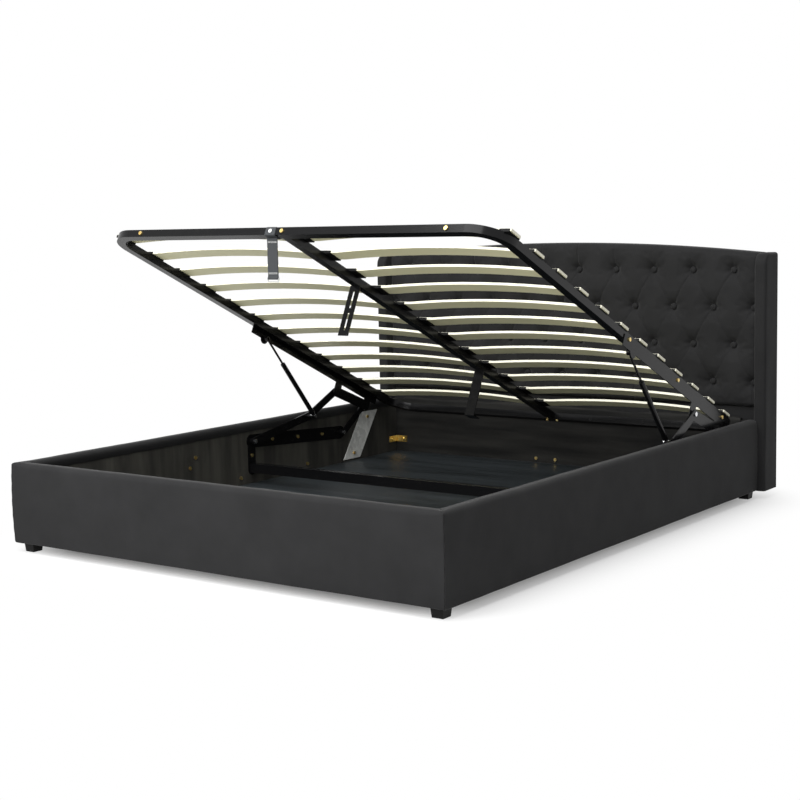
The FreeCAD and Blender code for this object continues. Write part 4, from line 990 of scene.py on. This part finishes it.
# %% The wrap round the foot tube
TUBE_DEEP, TUBE_HIGH, TAIL_BELOW = 0.030, 0.025, 0.0044
WRAP_GAP, WRAP_BEND, WRAP_THICK = 0.0010, 0.0032, 0.0017
edge_y = strap_y - TUBE_DEEP / 2 * math.cos(SLOPE) + TAIL_BELOW * math.sin(SLOPE)
edge_z = tail_top + TUBE_DEEP / 2 * math.sin(SLOPE) + TAIL_BELOW * math.cos(SLOPE)


def on_slope(along, up):
    return (edge_y + along * math.cos(SLOPE) + up * math.sin(SLOPE),
            edge_z - along * math.sin(SLOPE) + up * math.cos(SLOPE))


wrap = [(-WRAP_GAP, -WRAP_GAP), (TUBE_DEEP + WRAP_GAP, -WRAP_GAP),
        (TUBE_DEEP + WRAP_GAP, TUBE_HIGH + WRAP_GAP), (-WRAP_GAP, TUBE_HIGH + WRAP_GAP)]
wrap = [on_slope(*spot) for spot in rounded_path(wrap, WRAP_BEND)]
piece("strap_wrap", [band(wrap, *strap_x, WRAP_THICK)], "grey_webbing", "webbing", "platform", "strap_loop",
      sharp=60)

# %% [markdown]
# Two double rows of stitches hold the tail's layers together. Each dives in at both ends.

# %% Stitching
STITCH, STITCH_PITCH, STITCH_PROUD, THREAD = 0.0028, 0.0036, 0.0004, 0.0005
WEB_FACE, FIRST_IN, LAST_IN = 0.0019, 0.003, 0.004
UPPER_ROWS, LOWER_ROWS = (0.010, 0.013), (0.012, 0.015)


def stitch(start, end, proud):
    turn = np.linspace(0, math.tau, 6, endpoint=False)
    start, end, proud = np.array(start), np.array(end), np.array(proud)
    ahead = (end - start) / np.linalg.norm(end - start)
    unit = proud / np.linalg.norm(proud)
    side = np.cross(ahead, unit)
    rings = []
    for part in np.linspace(0, 1, 5):
        centre = start + (end - start) * part + proud * (math.sin(math.pi * part) - 0.4)
        rings.append(centre + THREAD * (np.cos(turn)[:, None] * side + np.sin(turn)[:, None] * unit))
    return loft(np.array(rings))


threads = []
for level in [tail_top - down for down in UPPER_ROWS] + [tail_end + up for up in LOWER_ROWS]:
    for x in np.arange(strap_x[0] + FIRST_IN, strap_x[1] - LAST_IN, STITCH_PITCH):
        for face in (-1, 1):
            y = strap_y + face * WEB_FACE
            threads.append(stitch((x, y, level), (x + STITCH, y, level), (0, face * STITCH_PROUD, 0)))
piece("strap_stitching", threads, "white_moulding", "webbing", "lift_strap")

# %% [markdown]
# ## Floor, light and camera
# The bed stands on a white studio floor. Near the bed the floor is lit and keeps the shadow; further away
# it turns into plain white, so that no horizon shows.

# %% Studio floor
FLOOR_HALF = 40
LIT_WIDE, LIT_LONG, LIT_FADE = 0.63, 0.83, 0.46
place = start_finish("studio_floor", Specular_IOR_Level=0.1, Roughness=0.9)
corners = [(x * FLOOR_HALF, y * FLOOR_HALF, 0) for x, y in ((-1, -1), (1, -1), (1, 1), (-1, 1))]
floor = add_object("studio_floor", corners, [(0, 1, 2, 3)])
floor.data.materials.append(finishes["studio_floor"])


def beyond(value, half):
    size = value.node("Math", {"operation": "ABSOLUTE"}, {0: value}) - half
    return value.sum("MAXIMUM", size, 0.0)


def looked_at(wire):
    """One for what is seen, straight or mirrored, and nothing for light that is passed on."""
    outputs = wire.node("LightPath").socket.node.outputs
    camera, glossy, through = [Wire(wire.tree, outputs[f"Is {kind} Ray"])
                               for kind in ("Camera", "Glossy", "Transmission")]
    return wire.sum("MINIMUM", camera + glossy + through, 1.0)


surface = place.tree.nodes["Principled BSDF"]
axes = place.node("SeparateXYZ", None, {"Vector": place}).socket.node.outputs
across, along = Wire(place.tree, axes[0]), Wire(place.tree, axes[1])
apart = (beyond(across, LIT_WIDE) ** 2 + beyond(along, LIT_LONG) ** 2) ** 0.5
far = place.node("MapRange", {"interpolation_type": "SMOOTHSTEP"},
                 {"Value": apart, "From Min": 0.0, "From Max": LIT_FADE})
seen = looked_at(place)
speck = noise(place, 40, 2) * 0.02
place.fill(surface.inputs["Base Color"], shade(seen + speck - 0.01, (0.5, 0.5, 0.5), (0.8, 0.8, 0.8)))
white = place.node("Emission", None, {"Color": (1, 1, 1), "Strength": 1.0})
lit = Wire(place.tree, surface.outputs[0])
mixed = place.node("MixShader", None, {0: far * seen, 1: lit, 2: white})
place.fill(place.tree.nodes["Material Output"].inputs["Surface"], mixed)
print("floor lit to", LIT_FADE, "m round the bed")

# %% [markdown]
# The world is white where it is seen and a third as strong where it lights the bed. Three soft lamps give
# most of the light.

# %% World and lamps
SKY_LIGHT = 0.32
world = bpy.data.worlds.new("studio")
world.use_nodes = True
bpy.context.scene.world = world
sky = Wire(world.node_tree)
background = world.node_tree.nodes["Background"]
sky.fill(background.inputs["Strength"], SKY_LIGHT + (1 - SKY_LIGHT) * looked_at(sky))
background.inputs["Color"].default_value = (1, 1, 1, 1)


def lamp(name, place, target, size, watts):
    data = bpy.data.lights.new(name, "AREA")
    data.shape = "RECTANGLE"
    data.size, data.size_y = size
    data.energy = watts
    made = bpy.data.objects.new(name, data)
    made.location = place
    made.rotation_euler = (Vector(target) - Vector(place)).to_track_quat("-Z", "Y").to_euler()
    bpy.context.scene.collection.objects.link(made)
    print(name, watts, "W")


lamp("overhead_softbox", (0.1, -2.4, 4.2), (0.1, -0.5, 0.3), (4.0, 3.6), 245)
lamp("foot_softbox", (-0.4, -3.6, 1.7), (0, -1.0, 0.25), (1.4, 1.4), 72)
lamp("side_softbox", (3.6, -3.4, 1.6), (0, -0.4, 0.3), (1.6, 1.6), 30)
bpy.context.scene.view_settings.view_transform = "Standard"

# %% [markdown]
# The camera stands to the right of the foot end, a little above the headboard's height, and looks slightly
# down. Its place, yaw, pitch and small roll were fitted to corners of the bed in the photograph.

# %% Camera
CAMERA_PLACE = (3.022, -4.233, 1.034)
YAW, PITCH_DOWN, TILT = (math.radians(angle) for angle in (-36.083, 6.71, -1.219))
FRAME_PIXELS, LENS_PIXELS, SENSOR = 800, 1531.6, 36
ahead = Vector((math.sin(YAW) * math.cos(PITCH_DOWN), math.cos(YAW) * math.cos(PITCH_DOWN),
                -math.sin(PITCH_DOWN)))
level = Vector((math.cos(YAW), -math.sin(YAW), 0))
above = level.cross(ahead)
right = math.cos(TILT) * level + math.sin(TILT) * above
up = -math.sin(TILT) * level + math.cos(TILT) * above
camera_data = bpy.data.cameras.new("camera")
camera_data.sensor_width = SENSOR
camera_data.lens = LENS_PIXELS / FRAME_PIXELS * SENSOR
camera = bpy.data.objects.new("camera", camera_data)
turned = Matrix((right, up, -ahead)).transposed().to_4x4()
camera.matrix_world = Matrix.Translation(CAMERA_PLACE) @ turned
bpy.context.scene.collection.objects.link(camera)
bpy.context.scene.camera = camera
print("lens", round(camera_data.lens, 2), "mm")
